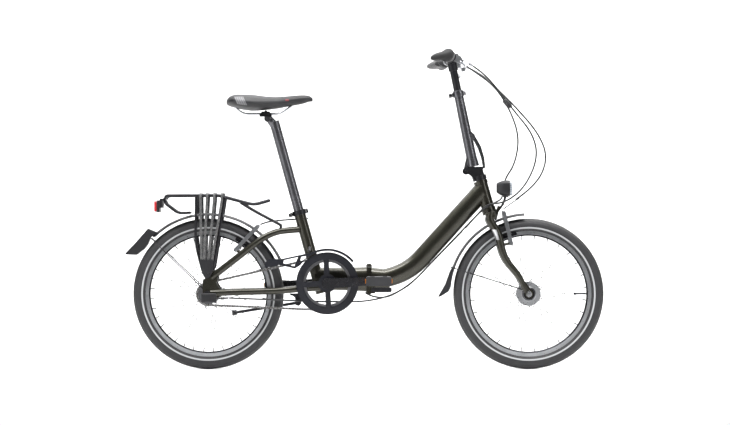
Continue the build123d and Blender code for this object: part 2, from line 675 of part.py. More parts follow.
def build_chain_guard():
    r0 = GUARD_R + 4
    r1 = GUARD_R + 12
    y0 = CHAIN_Y - 12
    y1 = CHAIN_Y + 8
    top = spun([(r0, y0), (r1, y0), (r1, y1), (r1 - 3, y1), (r1 - 3, y0 + 3), (r0, y0 + 3)],
               BB_X, BB_Z, 78, 40)
    a = math.radians(118)
    ex = BB_X + r1 * math.cos(a)
    ez = BB_Z + r1 * math.sin(a)
    ix = BB_X + r0 * math.cos(a)
    iz = BB_Z + r0 * math.sin(a)
    blade = plate([(ex + 2, ez + 0.6), (243, 366), (200, 365.5), (188, 352), (190, 338), (237, 346),
                   (288, 334), (301, 342), (ix + 4, iz - 1)], y0, y0 + 3)
    blade -= plate([(250, 352), (286, 342), (298, 372), (252, 362)], y0 - 5, y0 + 9)
    blade -= plate([(304, 353), (322, 368), (ix - 14, iz - 3), (309, 373)], y0 - 5, y0 + 9)
    blade -= disc(BB_X, BB_Z, y0 - 5, y0 + 9, r0)
    roof = plate([(ex + 2, ez + 0.6), (243, 366), (200, 365.5), (200, 362.5), (243, 363), (ex + 2, ez - 3)],
                 y0, y1)
    guard = top + blade + roof
    bolt_at = seat_point(404)
    strut = rod((bolt_at[0] + 2, -16, bolt_at[1]), (bolt_at[0] + 2, y1, bolt_at[1]), 4)
    strut += rod((bolt_at[0] + 2, y1, bolt_at[1]), (bolt_at[0] + 2, y0 + 1, bolt_at[1] - 11), 4)
    guard += strut - seat_rod(300, 500, SEAT_TUBE_R)
    put("chain_guard", guard)


# ---------------------------------------------------------------- fork and steering column
FORK_LINE = [(935.9, 521), (951.8, 462.5), (968.8, 411.7), (987, 361.9), (1017.6, 322.7),
             (1044, 277), (1060, 254)]
FORK_RADII = [14, 14, 13, 12, 11, 9.5, 9]
BLADE_Y = 42


def build_fork():
    blade = tapered([(x, BLADE_Y + 6 * i / 6, z) for i, (x, z) in enumerate(FORK_LINE)], FORK_RADII)
    d0 = FRONT_DROPOUT_Y - DROPOUT_T / 2
    d1 = FRONT_DROPOUT_Y + DROPOUT_T / 2
    blade -= disc(WHEELBASE, AXLE_Z, 0, 80, 13) + disc(WHEELBASE, AXLE_Z, 0, 45.4, 30)
    drop = disc(WHEELBASE, AXLE_Z, d0, d1, 14) - disc(WHEELBASE, AXLE_Z, d0 - 1, d1 + 1, AXLE_R)
    drop += plate([(1036, 284), (1048, 292), (1073, 258), (1058, 240)], d0, d1)
    drop -= disc(WHEELBASE, AXLE_Z, d0 - 1, d1 + 1, AXLE_R)
    leg = blade + drop + brake_stud(FRONT_BOSS, FRONT_BOSS_Y, FRONT_ARM_TOP, 1)
    crown_mid = steer_point(509)
    crown = Plane(origin=at(crown_mid), x_dir=(0, 1, 0), z_dir=Vector(-math.sin(math.radians(HEAD_ANGLE)), 0,
                  math.cos(math.radians(HEAD_ANGLE)))) * Box(2 * BLADE_Y + 22, 34, 26)
    crown = fillet(crown.edges(), 6)
    tube = rod(at(steer_point(505)), at(steer_point(HEAD_HIGH + 34)), STEERER_R)
    neck = rod(at(steer_point(515)), at(steer_point(HEAD_LOW - CUP_H - 0.3)), HEAD_TUBE_R + 2, 0)
    ear = plate([(944, 497), (956, 494), (968, 540), (960, 543)], -7, 7)
    bolt = rod(at(steer_point(490)), at(steer_point(500)), 5)
    body = crown + tube + neck + leg + mirrored(leg) + ear + bolt
    keep_clear = spun([(GUARD_OUT_R + SEAM, -GUARD_HALF_W - 2), (GUARD_OUT_R + SEAM, GUARD_HALF_W + 2),
                       (200, GUARD_HALF_W + 2), (200, -GUARD_HALF_W - 2)], WHEELBASE, AXLE_Z, 60, 80)
    put("fork", body - keep_clear)

    # faceted block that clamps the steerer and carries the post's folding joint
    base = plate([(884, 624.5), (872, 640), (846, 660), (849, 672), (862, 684), (868, 671), (907, 680),
                  (912, 655), (921, 630)], -21, 21)
    slot = plate([(840, 640), (866, 648), (868, 700), (835, 700)], -9.3, 9.3)
    base = base - slot
    base = base - box(800, 980, -40, 40, 671.6, 720)
    base += disc(POST_PIVOT_X, POST_PIVOT_Z, -21, -9.3, 12) + disc(POST_PIVOT_X, POST_PIVOT_Z, 9.3, 21, 12)
    base -= rod(at(steer_point(600)), at(steer_point(HEAD_HIGH + 34)), STEERER_R)
    base -= rod(at(steer_point(600)), at(steer_point(HEAD_HIGH + CUP_H)), HEAD_TUBE_R + 3)
    collar = rod(at(steer_point(627)), at(steer_point(641)), 24, STEERER_R)
    base += collar
    base -= disc(POST_PIVOT_X, POST_PIVOT_Z, -9.3, 9.3, 12.5)
    base -= box(800, 857.5, -40, 40, 640, 700) - disc(POST_PIVOT_X, POST_PIVOT_Z, -40, 40, 12)
    base -= disc(POST_PIVOT_X, POST_PIVOT_Z, -30, 30, 4)
    pin = disc(POST_PIVOT_X, POST_PIVOT_Z, -23, 23, 4)
    put("handlepost_base", base, pin)


def build_post():
    a = math.radians(POST_ANGLE)
    up = Vector(-math.sin(a), 0, math.cos(a))
    foot = 672
    shaft, shaft_room = [loft([
        Plane(origin=at(post_point(h)), z_dir=up) * Circle(r + extra)
        for h, r in ((foot, 21), (700, POST_R_LOW), (POST_TOP, POST_R_HIGH))], ruled=True) for extra in (0, 0.6)]
    heel = plate([(862, 673), (852, 668), (849, 675), (860, 720), (874, 700), (882, 674)], -9, 9)
    heel += disc(POST_PIVOT_X, POST_PIVOT_Z, -9, 9, 12)
    heel += plate([(849, 650), (846, 662), (858, 705), (875, 705), (866, 671.8), (864, 655)], -9, 9)
    body = shaft - box(840, 866.5, -40, 40, 640, 672) + heel
    body -= box(866.5, 990, -40, 40, 600, 671.9)
    body -= disc(POST_PIVOT_X, POST_PIVOT_Z, -20, 20, 4 + FIT)
    hinge = LATCH_HINGE
    ears = plate([(868, 792), (856, 760), (864, 752), (hinge[0] + 5, hinge[1] - 4),
                  (hinge[0] + 4, hinge[1] + 8)], -11, 11)
    ears -= plate([(870, 800), (868, 745), (900, 740), (900, 800)], -5.3, 5.3)
    ears -= disc(hinge[0], hinge[1], -20, 20, 3)
    body += ears
    body -= disc(hinge[0], hinge[1], -5.3, 5.3, 6.9)
    body -= rod(at(post_point(694)), at(post_point(960)), STEM_R + FIT)
    lever = plate([(hinge[0] - 4, hinge[1] + 4), (hinge[0] + 5, hinge[1] + 4), (905, 738), (916, 700),
                   (919, 668), (911, 664), (905, 700), (893, 733), (hinge[0] - 4, hinge[1] - 5)], -8, 8)
    lever -= plate([(895, 745), (903, 738), (912, 700), (913, 680), (909, 682), (903, 705), (892, 738)], -4, 4)
    lever -= disc(hinge[0], hinge[1], -20, -5, 10.5) + disc(hinge[0], hinge[1], 5, 20, 10.5)
    lever += disc(hinge[0], hinge[1], -5, 5, 6)
    lever -= disc(hinge[0], hinge[1], -20, 20, 3 + FIT)
    lever -= shaft_room
    pin = disc(hinge[0], hinge[1], -11, 11, 3)
    put("handlepost_latch_lever", lever)
    ring, skewer, blade = quick_clamp(post_point(POST_TOP - 12), POST_ANGLE, POST_R_HIGH + 0.2, 9)
    put("telescope_lever", blade)
    put("handlepost", body, ring, skewer, pin)


def build_stem():
    a = math.radians(POST_ANGLE)
    top = post_point(1012)
    tube = rod(at(post_point(755)), at(top), STEM_R)
    clamp = disc(BAR_X, BAR_Z, -22, 22, 19)
    neck = rod(at(post_point(990)), at(post_point(1022)), 16)
    cap = box(BAR_X + 8, BAR_X + 22, -20, 20, BAR_Z - 15, BAR_Z + 15)
    body = tube + neck + clamp + cap
    body -= disc(BAR_X, BAR_Z, -30, 30, 13)
    bolts = [rod((BAR_X + 22, y, BAR_Z + z), (BAR_X + 25, y, BAR_Z + z), 3.5) for y in (-14, 14) for z in (-10, 10)]
    put("handlebar_stem", body, *bolts)


def bar_line(y):
    """Point on the handlebar's centreline at a distance from the middle."""
    y_in = 60
    if y <= y_in:
        return BAR_X, y, BAR_Z
    t = (y - y_in) / (BAR_HALF - y_in)
    return BAR_X - BAR_SWEEP * t, y, BAR_Z - 4 * t


def build_cockpit():
    half = pipe([(BAR_X, 0, BAR_Z), bar_line(60), bar_line(BAR_HALF)], soft_bends(
        [(BAR_X, 0, BAR_Z), bar_line(60), bar_line(BAR_HALF)]), BAR_R)
    bar = half + mirrored(half) + disc(BAR_X, BAR_Z, -32, 32, 13)
    perches = []
    for y in (136,):
        perch = rod(bar_line(y - 7), bar_line(y + 7), BAR_R + 4, BAR_R)
        spot = bar_line(y)
        block = plate([(spot[0] + 12, spot[2] + 9), (spot[0] + 34, spot[2] + 2), (spot[0] + 42, spot[2] - 12),
                       (spot[0] + 34, spot[2] - 24), (spot[0] + 10, spot[2] - 12)], y - 9, y + 9)
        block -= rod(bar_line(y - 30), bar_line(y + 30), BAR_R + 3)
        keep = Plane(origin=LEVER_PIVOT_L, z_dir=LEVER_AXIS) * Cylinder(11, 9.6)
        block -= keep
        block += Plane(origin=LEVER_PIVOT_L, z_dir=LEVER_AXIS) * Cylinder(2.5, 20)
        perches.append(perch + block)
    put("handlebar", bar, *perches, *[mirrored(p) for p in perches])

    grip_a = bar_line(GRIP_IN)
    grip_b = bar_line(BAR_HALF)
    core = rod(grip_a, grip_b, 16, BAR_R)
    core += rod(grip_b, bar_line(BAR_HALF + 4), 15)
    wing_faces = []
    for y, reach, thick in ((GRIP_IN + 16, 20, 16), (230, 34, 17), (262, 48, 15), (286, 50, 13)):
        x, yy, z = bar_line(y)
        plane = Plane(origin=(x - reach / 2, y, z - 3), x_dir=(1, 0, 0.18), z_dir=(0, 1, 0))
        wing_faces.append(plane * Ellipse(reach / 2 + 8, thick / 2))
    wing = loft(wing_faces) - rod(bar_line(GRIP_IN - 20), bar_line(BAR_HALF + 4), BAR_R)
    grip = core + wing
    put("grips", grip, mirrored(grip))

    shifter = rod(bar_line(SHIFTER_IN), bar_line(GRIP_IN - 0.4), 17, BAR_R + FIT)
    shifter += rod(bar_line(SHIFTER_IN), bar_line(SHIFTER_IN + 10), 20, BAR_R + FIT)
    put("twist_shifter", mirrored(shifter))

    for name, flip in (("left", False), ("right", True)):
        lever = brake_lever()
        put(name + "_brake_lever", mirrored(lever) if flip else lever)


def brake_lever():
    px, py, pz = LEVER_PIVOT_L
    line = [(px, py, pz), (px + 10, py + 26, pz - 12), (px + 8, py + 70, pz - 22), (px + 2, py + 108, pz - 28)]
    blade = pipe(line, soft_bends(line), 4.5)
    boss = Plane(origin=LEVER_PIVOT_L, z_dir=LEVER_AXIS) * Cylinder(8, 8)
    tip = rod((px + 2, py + 104, pz - 28), (px + 2, py + 114, pz - 29), 7)
    lever = blade + boss + tip
    lever -= Plane(origin=LEVER_PIVOT_L, z_dir=LEVER_AXIS) * Cylinder(2.5 + FIT, 40)
    return lever


# ---------------------------------------------------------------- seat
def build_seat():
    ring, skewer, blade = quick_clamp(seat_point(SEAT_TUBE_TOP + 7), SEAT_ANGLE, SEAT_TUBE_R, 8)
    a = math.radians(SEAT_ANGLE)
    up = Vector(-math.sin(a), 0, math.cos(a))
    top = Vector(*at(seat_point(SEAT_TUBE_TOP)))
    lip = Plane(origin=top, z_dir=up) * Cylinder(SEAT_TUBE_R, 16, align=(Align.CENTER, Align.CENTER, Align.MIN))
    lip -= seat_rod(SEAT_TUBE_TOP - 60, SEAT_TUBE_TOP + 60, SEATPOST_R + FIT)
    ring -= seat_rod(SEAT_TUBE_TOP - 60, SEAT_TUBE_TOP, SEAT_TUBE_R + 9)
    put("seat_clamp", ring + lip, skewer)
    put("seat_clamp_lever", blade)

    post = seat_rod(405, 822, SEATPOST_R)
    head = disc(196, 831, -24, 24, 11)
    neck = along_neck()
    put("seatpost", post + neck + head)

    cradle = box(170, 210, -26, 26, RAIL_Z - 9, RAIL_Z - 0.1)
    cradle += box(176, 204, -26, 26, RAIL_Z + 0.1, RAIL_Z + 8)
    cradle += rod((190, 0, RAIL_Z - 6), (190, 0, RAIL_Z + 12), 4)
    rails = []
    for side in (1, -1):
        pts = [(88, side * 34, 869), (116, side * 22, RAIL_Z), (238, side * 22, RAIL_Z), (276, side * 12, 873)]
        rails.append(pipe(pts, soft_bends(pts), 3.5))
    cradle = without(cradle - rails, "seatpost")
    put("saddle_clamp", cradle)
    put("saddle_rails", *rails)

    faces = []
    for x, half, high, low in SADDLE:
        plane = Plane(origin=(x, 0, (high + low) / 2), x_dir=(0, 1, 0), z_dir=(1, 0, 0))
        faces.append(plane * Ellipse(half, (high - low) / 2))
    saddle = loft(faces) - rails
    put("saddle", saddle)


def along_neck():
    """Cast head between the seatpost's top and the rail cradle."""
    low = seat_point(806)
    a = math.radians(SEAT_ANGLE)
    up = Vector(-math.sin(a), 0, math.cos(a))
    return loft([Plane(origin=at(low), z_dir=up) * Circle(SEATPOST_R),
                 Plane(origin=(200, 0, 832), z_dir=(-0.6, 0, 0.8)) * Circle(12)])


# ---------------------------------------------------------------- mudguards, lights and rack
def mudguard(x, start, end, flap):
    half = GUARD_HALF_W
    t = GUARD_T
    outer = []
    inner = []
    for i in range(9):
        y = -half + 2 * half * i / 8
        drop = 7 * (y / half) ** 2
        outer.append((GUARD_OUT_R - drop, y))
        inner.append((GUARD_OUT_R - drop - t, y))
    shell = spun(outer + list(reversed(inner)), x, AXLE_Z, end - start, start)
    fin = plate(flap, -half + 3, half - 3) - spun(
        [(GUARD_OUT_R - t - 7.2, -40), (GUARD_OUT_R - t - 7.2, 40), (150, 40), (150, -40)], x, AXLE_Z)
    return shell + fin


def guard_stay(clip, end):
    """Wire stay on both sides, from the clip at the mudguard's edge to its lower end."""
    wires = []
    for side in (1, -1):
        pts = [(clip[0], side * (GUARD_HALF_W + 0.1), clip[1]), (clip[0], side * (GUARD_HALF_W + 5), clip[1]),
               (end[0], side * end[1], end[2])]
        wires.append(pipe(pts, [3.5], 1.7))
    return wires


def build_mudguards():
    rear_flap = [(-168, 453), (-200, 466), (-238, 423), (-276, 383), (-270, 380), (-237, 379),
                 (-204, 405), (-190, 438)]
    rear = mudguard(0, 24, 134, rear_flap)
    rear -= rod((228, -34, 459), (228, 34, 459), 7.3)
    put("rear_mudguard", rear, *guard_stay((-189, 434), (-7, REAR_DROPOUT_Y - DROPOUT_T / 2 - 1.7, AXLE_Z + 9)))
    front_flap = [(WHEELBASE - 252, 341), (800, 322), (786, 282), (762, 240), (770, 241), (797, 258),
                  (812, 290), (WHEELBASE - 244, 328)]
    front = mudguard(WHEELBASE, 93, 165, front_flap)
    stays = guard_stay((805, 338), (WHEELBASE - 20, FRONT_DROPOUT_Y - 3, AXLE_Z + 14))
    put("front_mudguard", front, *[without(stay, "fork") for stay in stays])


def build_rack():
    y = RACK_Y
    solids = []
    for side in (1, -1):
        rail = [(-144, side * 30, 563), (-136, side * y, 575), (34, side * y, 576), (150, side * 46, 545),
                (200, side * 22, 559)]
        solids.append(pipe(rail, [9, 60, 60], RACK_R))
        low = [(-144, side * 30, 563), (-140, side * 34, 548), (-99, side * 40, 517), (-62, side * 30, 519)]
        loop = pipe(low, soft_bends(low, 0.4), RACK_R - 1)
        solids.append(loop)
        rear_leg = [(-38, side * y, 576), (-40, side * (y + 6), 418), (-22, side * (y + 9), 345),
                    (-2, side * (REAR_DROPOUT_Y + 8), 318)]
        solids.append(pipe(rear_leg, soft_bends(rear_leg), RACK_R - 1))
        front_leg = [(56, side * (y + 1), 570), (20, side * (y + 9), 345), (8, side * (REAR_DROPOUT_Y + 8), 318)]
        solids.append(pipe(front_leg, soft_bends(front_leg), RACK_R - 1))
        strut = [(108, side * 50, 552), (150, side * 44, 526), (240, side * 30, 478)]
        solids.append(pipe(strut, soft_bends(strut), RACK_R - 1))
        solids.append(rod((240, side * 30, 480), (240, side * 30, 455), 4))
        foot = disc(EYELET[0], EYELET[1], REAR_DROPOUT_Y + 5.6, REAR_DROPOUT_Y + 13, 8)
        solids.append(foot if side > 0 else mirrored(disc(EYELET[0], EYELET[1], REAR_DROPOUT_Y + 5.6,
                                                          REAR_DROPOUT_Y + 13, 8)))
    solids.append(rod((-144, -30, 563), (-144, 30, 563), RACK_R))
    solids.append(rod((200, -22, 559), (200, 22, 559), RACK_R))
    solids.append(rod((-62, -30, 519), (-62, 30, 519), RACK_R - 1))
    solids.append(box(-78, -56, -10, 10, 518, 521))
    for x in (-100, -36, 34):
        solids.append(rod((x, -y, 576), (x, y, 576), RACK_R - 1))
    rack = solids[0]
    for part in solids[1:]:
        rack += part
    hole = disc(EYELET[0], EYELET[1], -90, 90, EYELET_R)
    rack = without(rack - hole, "seat_stays", "rear_mudguard", "chainstays")
    rack -= spun([(GUARD_OUT_R, -60), (GUARD_OUT_R, 60), (60, 60), (60, -60)], 0, AXLE_Z, 180, 0)
    put("rack", rack)

    straps = []
    for x_top, x_low in ((-22, -18), (2, -8), (26, 3), (46, 13)):
        for side in (1, -1):
            y0 = y + RACK_R + 1.8
            outer = side * (y0 + 4)
            run = [(x_top, 0, 583.2), (x_top, side * (y - 4), 583.2), (x_top, side * (y0 + 0.2), 574),
                   (x_low, outer * 1.04, 356)]
            straps.append(pipe(run, [8, 12], 1.6))
    joined = []
    for x_low in (1,):
        for side in (1, -1):
            plate_y = (y + 9) * side
            low = min(plate_y + side * 3, plate_y + side * 10)
            high = max(plate_y + side * 3, plate_y + side * 10)
            anchor = plate([(-30, 362), (20, 362), (16, 318), (4, 300), (-8, 318)], low, high)
            joined.append(anchor)
    body = joined[0] + joined[1]
    for strap in straps:
        body += strap
    body -= disc(EYELET[0], EYELET[1], -90, 90, EYELET_R + 0.6)
    put("rack_straps", body - rack)

    housing = box(-160, -149.5, -38, 38, 535, 566) + box(-170, -160, -42, 42, 520, 560)
    housing = housing - rack
    lens = box(-178, -170, -42, 42, 522, 558)
    lens = fillet(lens.edges().filter_by(Axis.X), 6)
    put("tail_light_housing", housing)
    put("tail_light_lens", lens)


def build_headlight():
    body = loft([
        Plane(origin=(956, 0, 601), x_dir=(0, 1, 0), z_dir=(1, 0, 0)) * RectangleRounded(34, 30, 10),
        Plane(origin=(972, 0, 600), x_dir=(0, 1, 0), z_dir=(1, 0, 0)) * RectangleRounded(52, 48, 14),
        Plane(origin=(1000, 0, 600), x_dir=(0, 1, 0), z_dir=(1, 0, 0)) * RectangleRounded(56, 52, 14)])
    body += box(978, 996, -5, 5, 570, 578)
    arm = pipe([(986, 0, 572), (978, 0, 548), (960, 0, 524)], [20], 4)
    arm -= plate([(944, 497), (956, 494), (968, 540), (960, 543)], -7, 7)
    put("headlight_housing", body + arm)
    lens = extrude(Plane(origin=(1000, 0, 600), x_dir=(0, 1, 0), z_dir=(1, 0, 0)) * RectangleRounded(54, 50, 13),
                   amount=7)
    put("headlight_lens", lens)


# ---------------------------------------------------------------- brakes, shift box, kickstand
def brake_arm(boss, boss_y, top, wheel_x, outward):
    """Left-hand arm of a rim brake with its pad; the pad faces the rim's braking track."""
    bx, bz = boss
    tx, tz = top
    ux, uz, nx, nz = arm_axes(boss, top, outward)
    half = 6
    arm = plate([(bx - ux * 8 - uz * half, bz - uz * 8 + ux * half), (tx - uz * half, tz + ux * half),
                 (tx + uz * half, tz - ux * half), (bx - ux * 8 + uz * half, bz - uz * 8 - ux * half)],
                boss_y - 6, boss_y + 6)
    arm = fillet(arm.edges().filter_by(Axis.Y), 4)
    pivot_a = (bx - nx * 11, boss_y, bz - nz * 11)
    pivot_b = (bx + nx * 11, boss_y, bz + nz * 11)
    arm -= rod(pivot_a, pivot_b, 4 + FIT)
    dist = 203
    best = min(range(60), key=lambda k: abs(math.hypot(bx + ux * k - wheel_x, bz + uz * k - AXLE_Z) - dist))
    px, pz = bx + ux * best, bz + uz * best
    stud = rod((px, 22, pz), (px, boss_y - 6, pz), 3.5)
    rx, rz = px - wheel_x, pz - AXLE_Z
    scale = math.hypot(rx, rz)
    rx, rz = rx / scale, rz / scale
    pad_plane = Plane(origin=(px, RIM_W / 2 + 1.6 + 4, pz), x_dir=(-rz, 0, rx), z_dir=(0, 1, 0))
    pad = pad_plane * Box(52, 9, 8)
    holder = pad_plane.offset(5) * Box(40, 7, 2)
    nose = rod((tx, boss_y, tz), (tx, boss_y - 18, tz), 3.2)
    return arm + stud + nose + holder, pad


def build_brakes():
    for name, boss, boss_y, top, x, out in (
            ("front", FRONT_BOSS, FRONT_BOSS_Y, FRONT_ARM_TOP, WHEELBASE, 1),
            ("rear", REAR_BOSS, REAR_BOSS_Y, REAR_ARM_TOP, 0, -1)):
        arm, pad = brake_arm(boss, boss_y, top, x, out)
        put(name + "_brake_arm_left", arm, pad)
        put(name + "_brake_arm_right", mirrored(arm), mirrored(pad))


def build_small():
    body = box(-20, 30, -96, -80, 222, 254)
    body = fillet(body.edges(), 5)
    nut = disc(0, AXLE_Z, -80, -74.2, 11)
    arm = rod((18, -88, 236), (70, -84, 238), 3)
    put("gear_shift_box", body + nut + arm)

    bracket = plate([(266, 250), (304, 250), (308, 222), (300, 208), (288, 210), (286, 236)], 44, 50)
    bracket += box(270, 300, 30, 50, 243, 250)
    bracket -= disc(KICK[0], KICK[1], 30, 60, 5)
    pin = disc(KICK[0], KICK[1], 40, 60, 5)
    pin += disc(KICK[0], KICK[1], 38, 44, 8)
    put("kickstand_bracket", bracket, pin)
    a = math.radians(KICK_DROP)
    fx = KICK[0] - KICK_L * math.cos(a)
    fz = KICK[1] - KICK_L * math.sin(a)
    leg = rod((KICK[0] - 4, 55.4, KICK[1] - 1), (fx, 55.4, fz), 5)
    leg += disc(KICK[0], KICK[1], 50.3, 59.5, 10)
    leg -= disc(KICK[0], KICK[1], 40, 70, 5 + FIT)
    leg += rod((fx - 2, 56, fz), (fx + 14 * math.cos(a), 56, fz + 14 * math.sin(a)), 9)
    put("kickstand_leg", leg)


# ---------------------------------------------------------------- cables
def build_cables():
    upper = []
    loops = [
        [(862, 118, 1008), (905, 60, 985), (960, 12, 930), (1030, 10, 860), (1098, 10, 780), (1128, 10, 700),
         (1090, 10, 610), (1020, 12, 562)],
        [(862, -118, 1008), (905, -60, 985), (956, -6, 934), (1012, 0, 860), (1078, 0, 780), (1094, 0, 700),
         (1050, -26, 604), (985, -36, 552), (925, -34, 548), (898, -33, 520), (852, -14, 468)],
        [(830, -150, 1012), (880, -70, 985), (950, -16, 938), (1000, -9, 862), (1032, -10, 770),
         (1018, 14, 680), (986, 46, 632), (984, 44, 598), (974, 26, 564), (957, -14, 556), (934, -35, 545),
         (905, -34, 526), (876, -28, 496), (846, -4, 464)],
    ]
    near = ("handlebar", "left_brake_lever", "right_brake_lever", "twist_shifter", "front_brake_arm_left")
    for points in loops:
        upper.append(without(pipe(points, soft_bends(points), 2.5), *near))
    put("upper_cables", *upper)
    lower_lines = [
        [(848, -14, 466), (760, -14, 376), (684, -12, 292), (610, -14, 244), (520, -20, 224), (430, -28, 224),
         (305, -33, 227), (160, -66, 234), (72, -84, 238)],
        [(842, -4, 458), (755, -4, 368), (676, -2, 286), (640, 0, 262), (592, 0, 236), (540, 0, 240),
         (520, 0, 254)],
    ]
    lower = [pipe(points, soft_bends(points), 2.5) for points in lower_lines]
    brake = [(330, 26, 500), (292, 32, 497), (236, 40, 494), (190, 44, 488), (172, 30, 480)]
    lower.append(pipe(brake, soft_bends(brake), 2.5))
    put("lower_cables", *lower)


def build_all():
    build_wheels()
    build_rear_frame()
    build_front_frame()
    build_drive()
    build_chain_guard()
    build_fork()
    build_post()
    build_stem()
    build_cockpit()
    build_seat()
    build_mudguards()
    build_rack()
    build_headlight()
    build_brakes()
    build_small()
    build_cables()


build_all()
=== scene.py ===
"""Folding bicycle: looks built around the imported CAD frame. Metres, +X forwards, +Y left, +Z up."""
import math

import bmesh
import bpy
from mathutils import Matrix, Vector


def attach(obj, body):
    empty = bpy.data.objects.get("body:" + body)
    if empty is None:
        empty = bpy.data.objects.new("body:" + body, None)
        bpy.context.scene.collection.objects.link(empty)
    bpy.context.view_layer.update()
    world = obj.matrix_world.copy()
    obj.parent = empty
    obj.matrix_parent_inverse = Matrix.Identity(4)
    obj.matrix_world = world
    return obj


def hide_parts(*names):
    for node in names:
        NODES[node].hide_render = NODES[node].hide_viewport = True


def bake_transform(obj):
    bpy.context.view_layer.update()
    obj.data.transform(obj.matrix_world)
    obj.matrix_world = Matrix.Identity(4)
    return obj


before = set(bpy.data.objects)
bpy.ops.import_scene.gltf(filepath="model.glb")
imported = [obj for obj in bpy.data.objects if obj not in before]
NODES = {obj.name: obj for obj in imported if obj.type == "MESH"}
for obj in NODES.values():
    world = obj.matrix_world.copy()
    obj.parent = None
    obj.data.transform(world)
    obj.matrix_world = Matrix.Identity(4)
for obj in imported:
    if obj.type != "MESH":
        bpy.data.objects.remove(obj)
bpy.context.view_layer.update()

# Driving dimensions, metres
SHIFT = -0.5175
AXLE_Z = 0.25
FRONT_X = 1.062 + SHIFT
REAR_X = SHIFT
CRANK_X = 0.395 + SHIFT
CRANK_Z = 0.2855
CRANK_LENGTH = 0.17
CRANK_TILT = math.radians(3)
BRAKE_SHOE_Y = 0.026
VIEW_AIM = (0.002, 0, 0.5196)
VIEW_DISTANCE = 10.0
VIEW_LENS = 148.5


def spot(x, y, z):
    """A point given in millimetres from the ground under the rear axle."""
    return Vector((x / 1000 + SHIFT, y / 1000, z / 1000))


# ---------------------------------------------------------------- materials

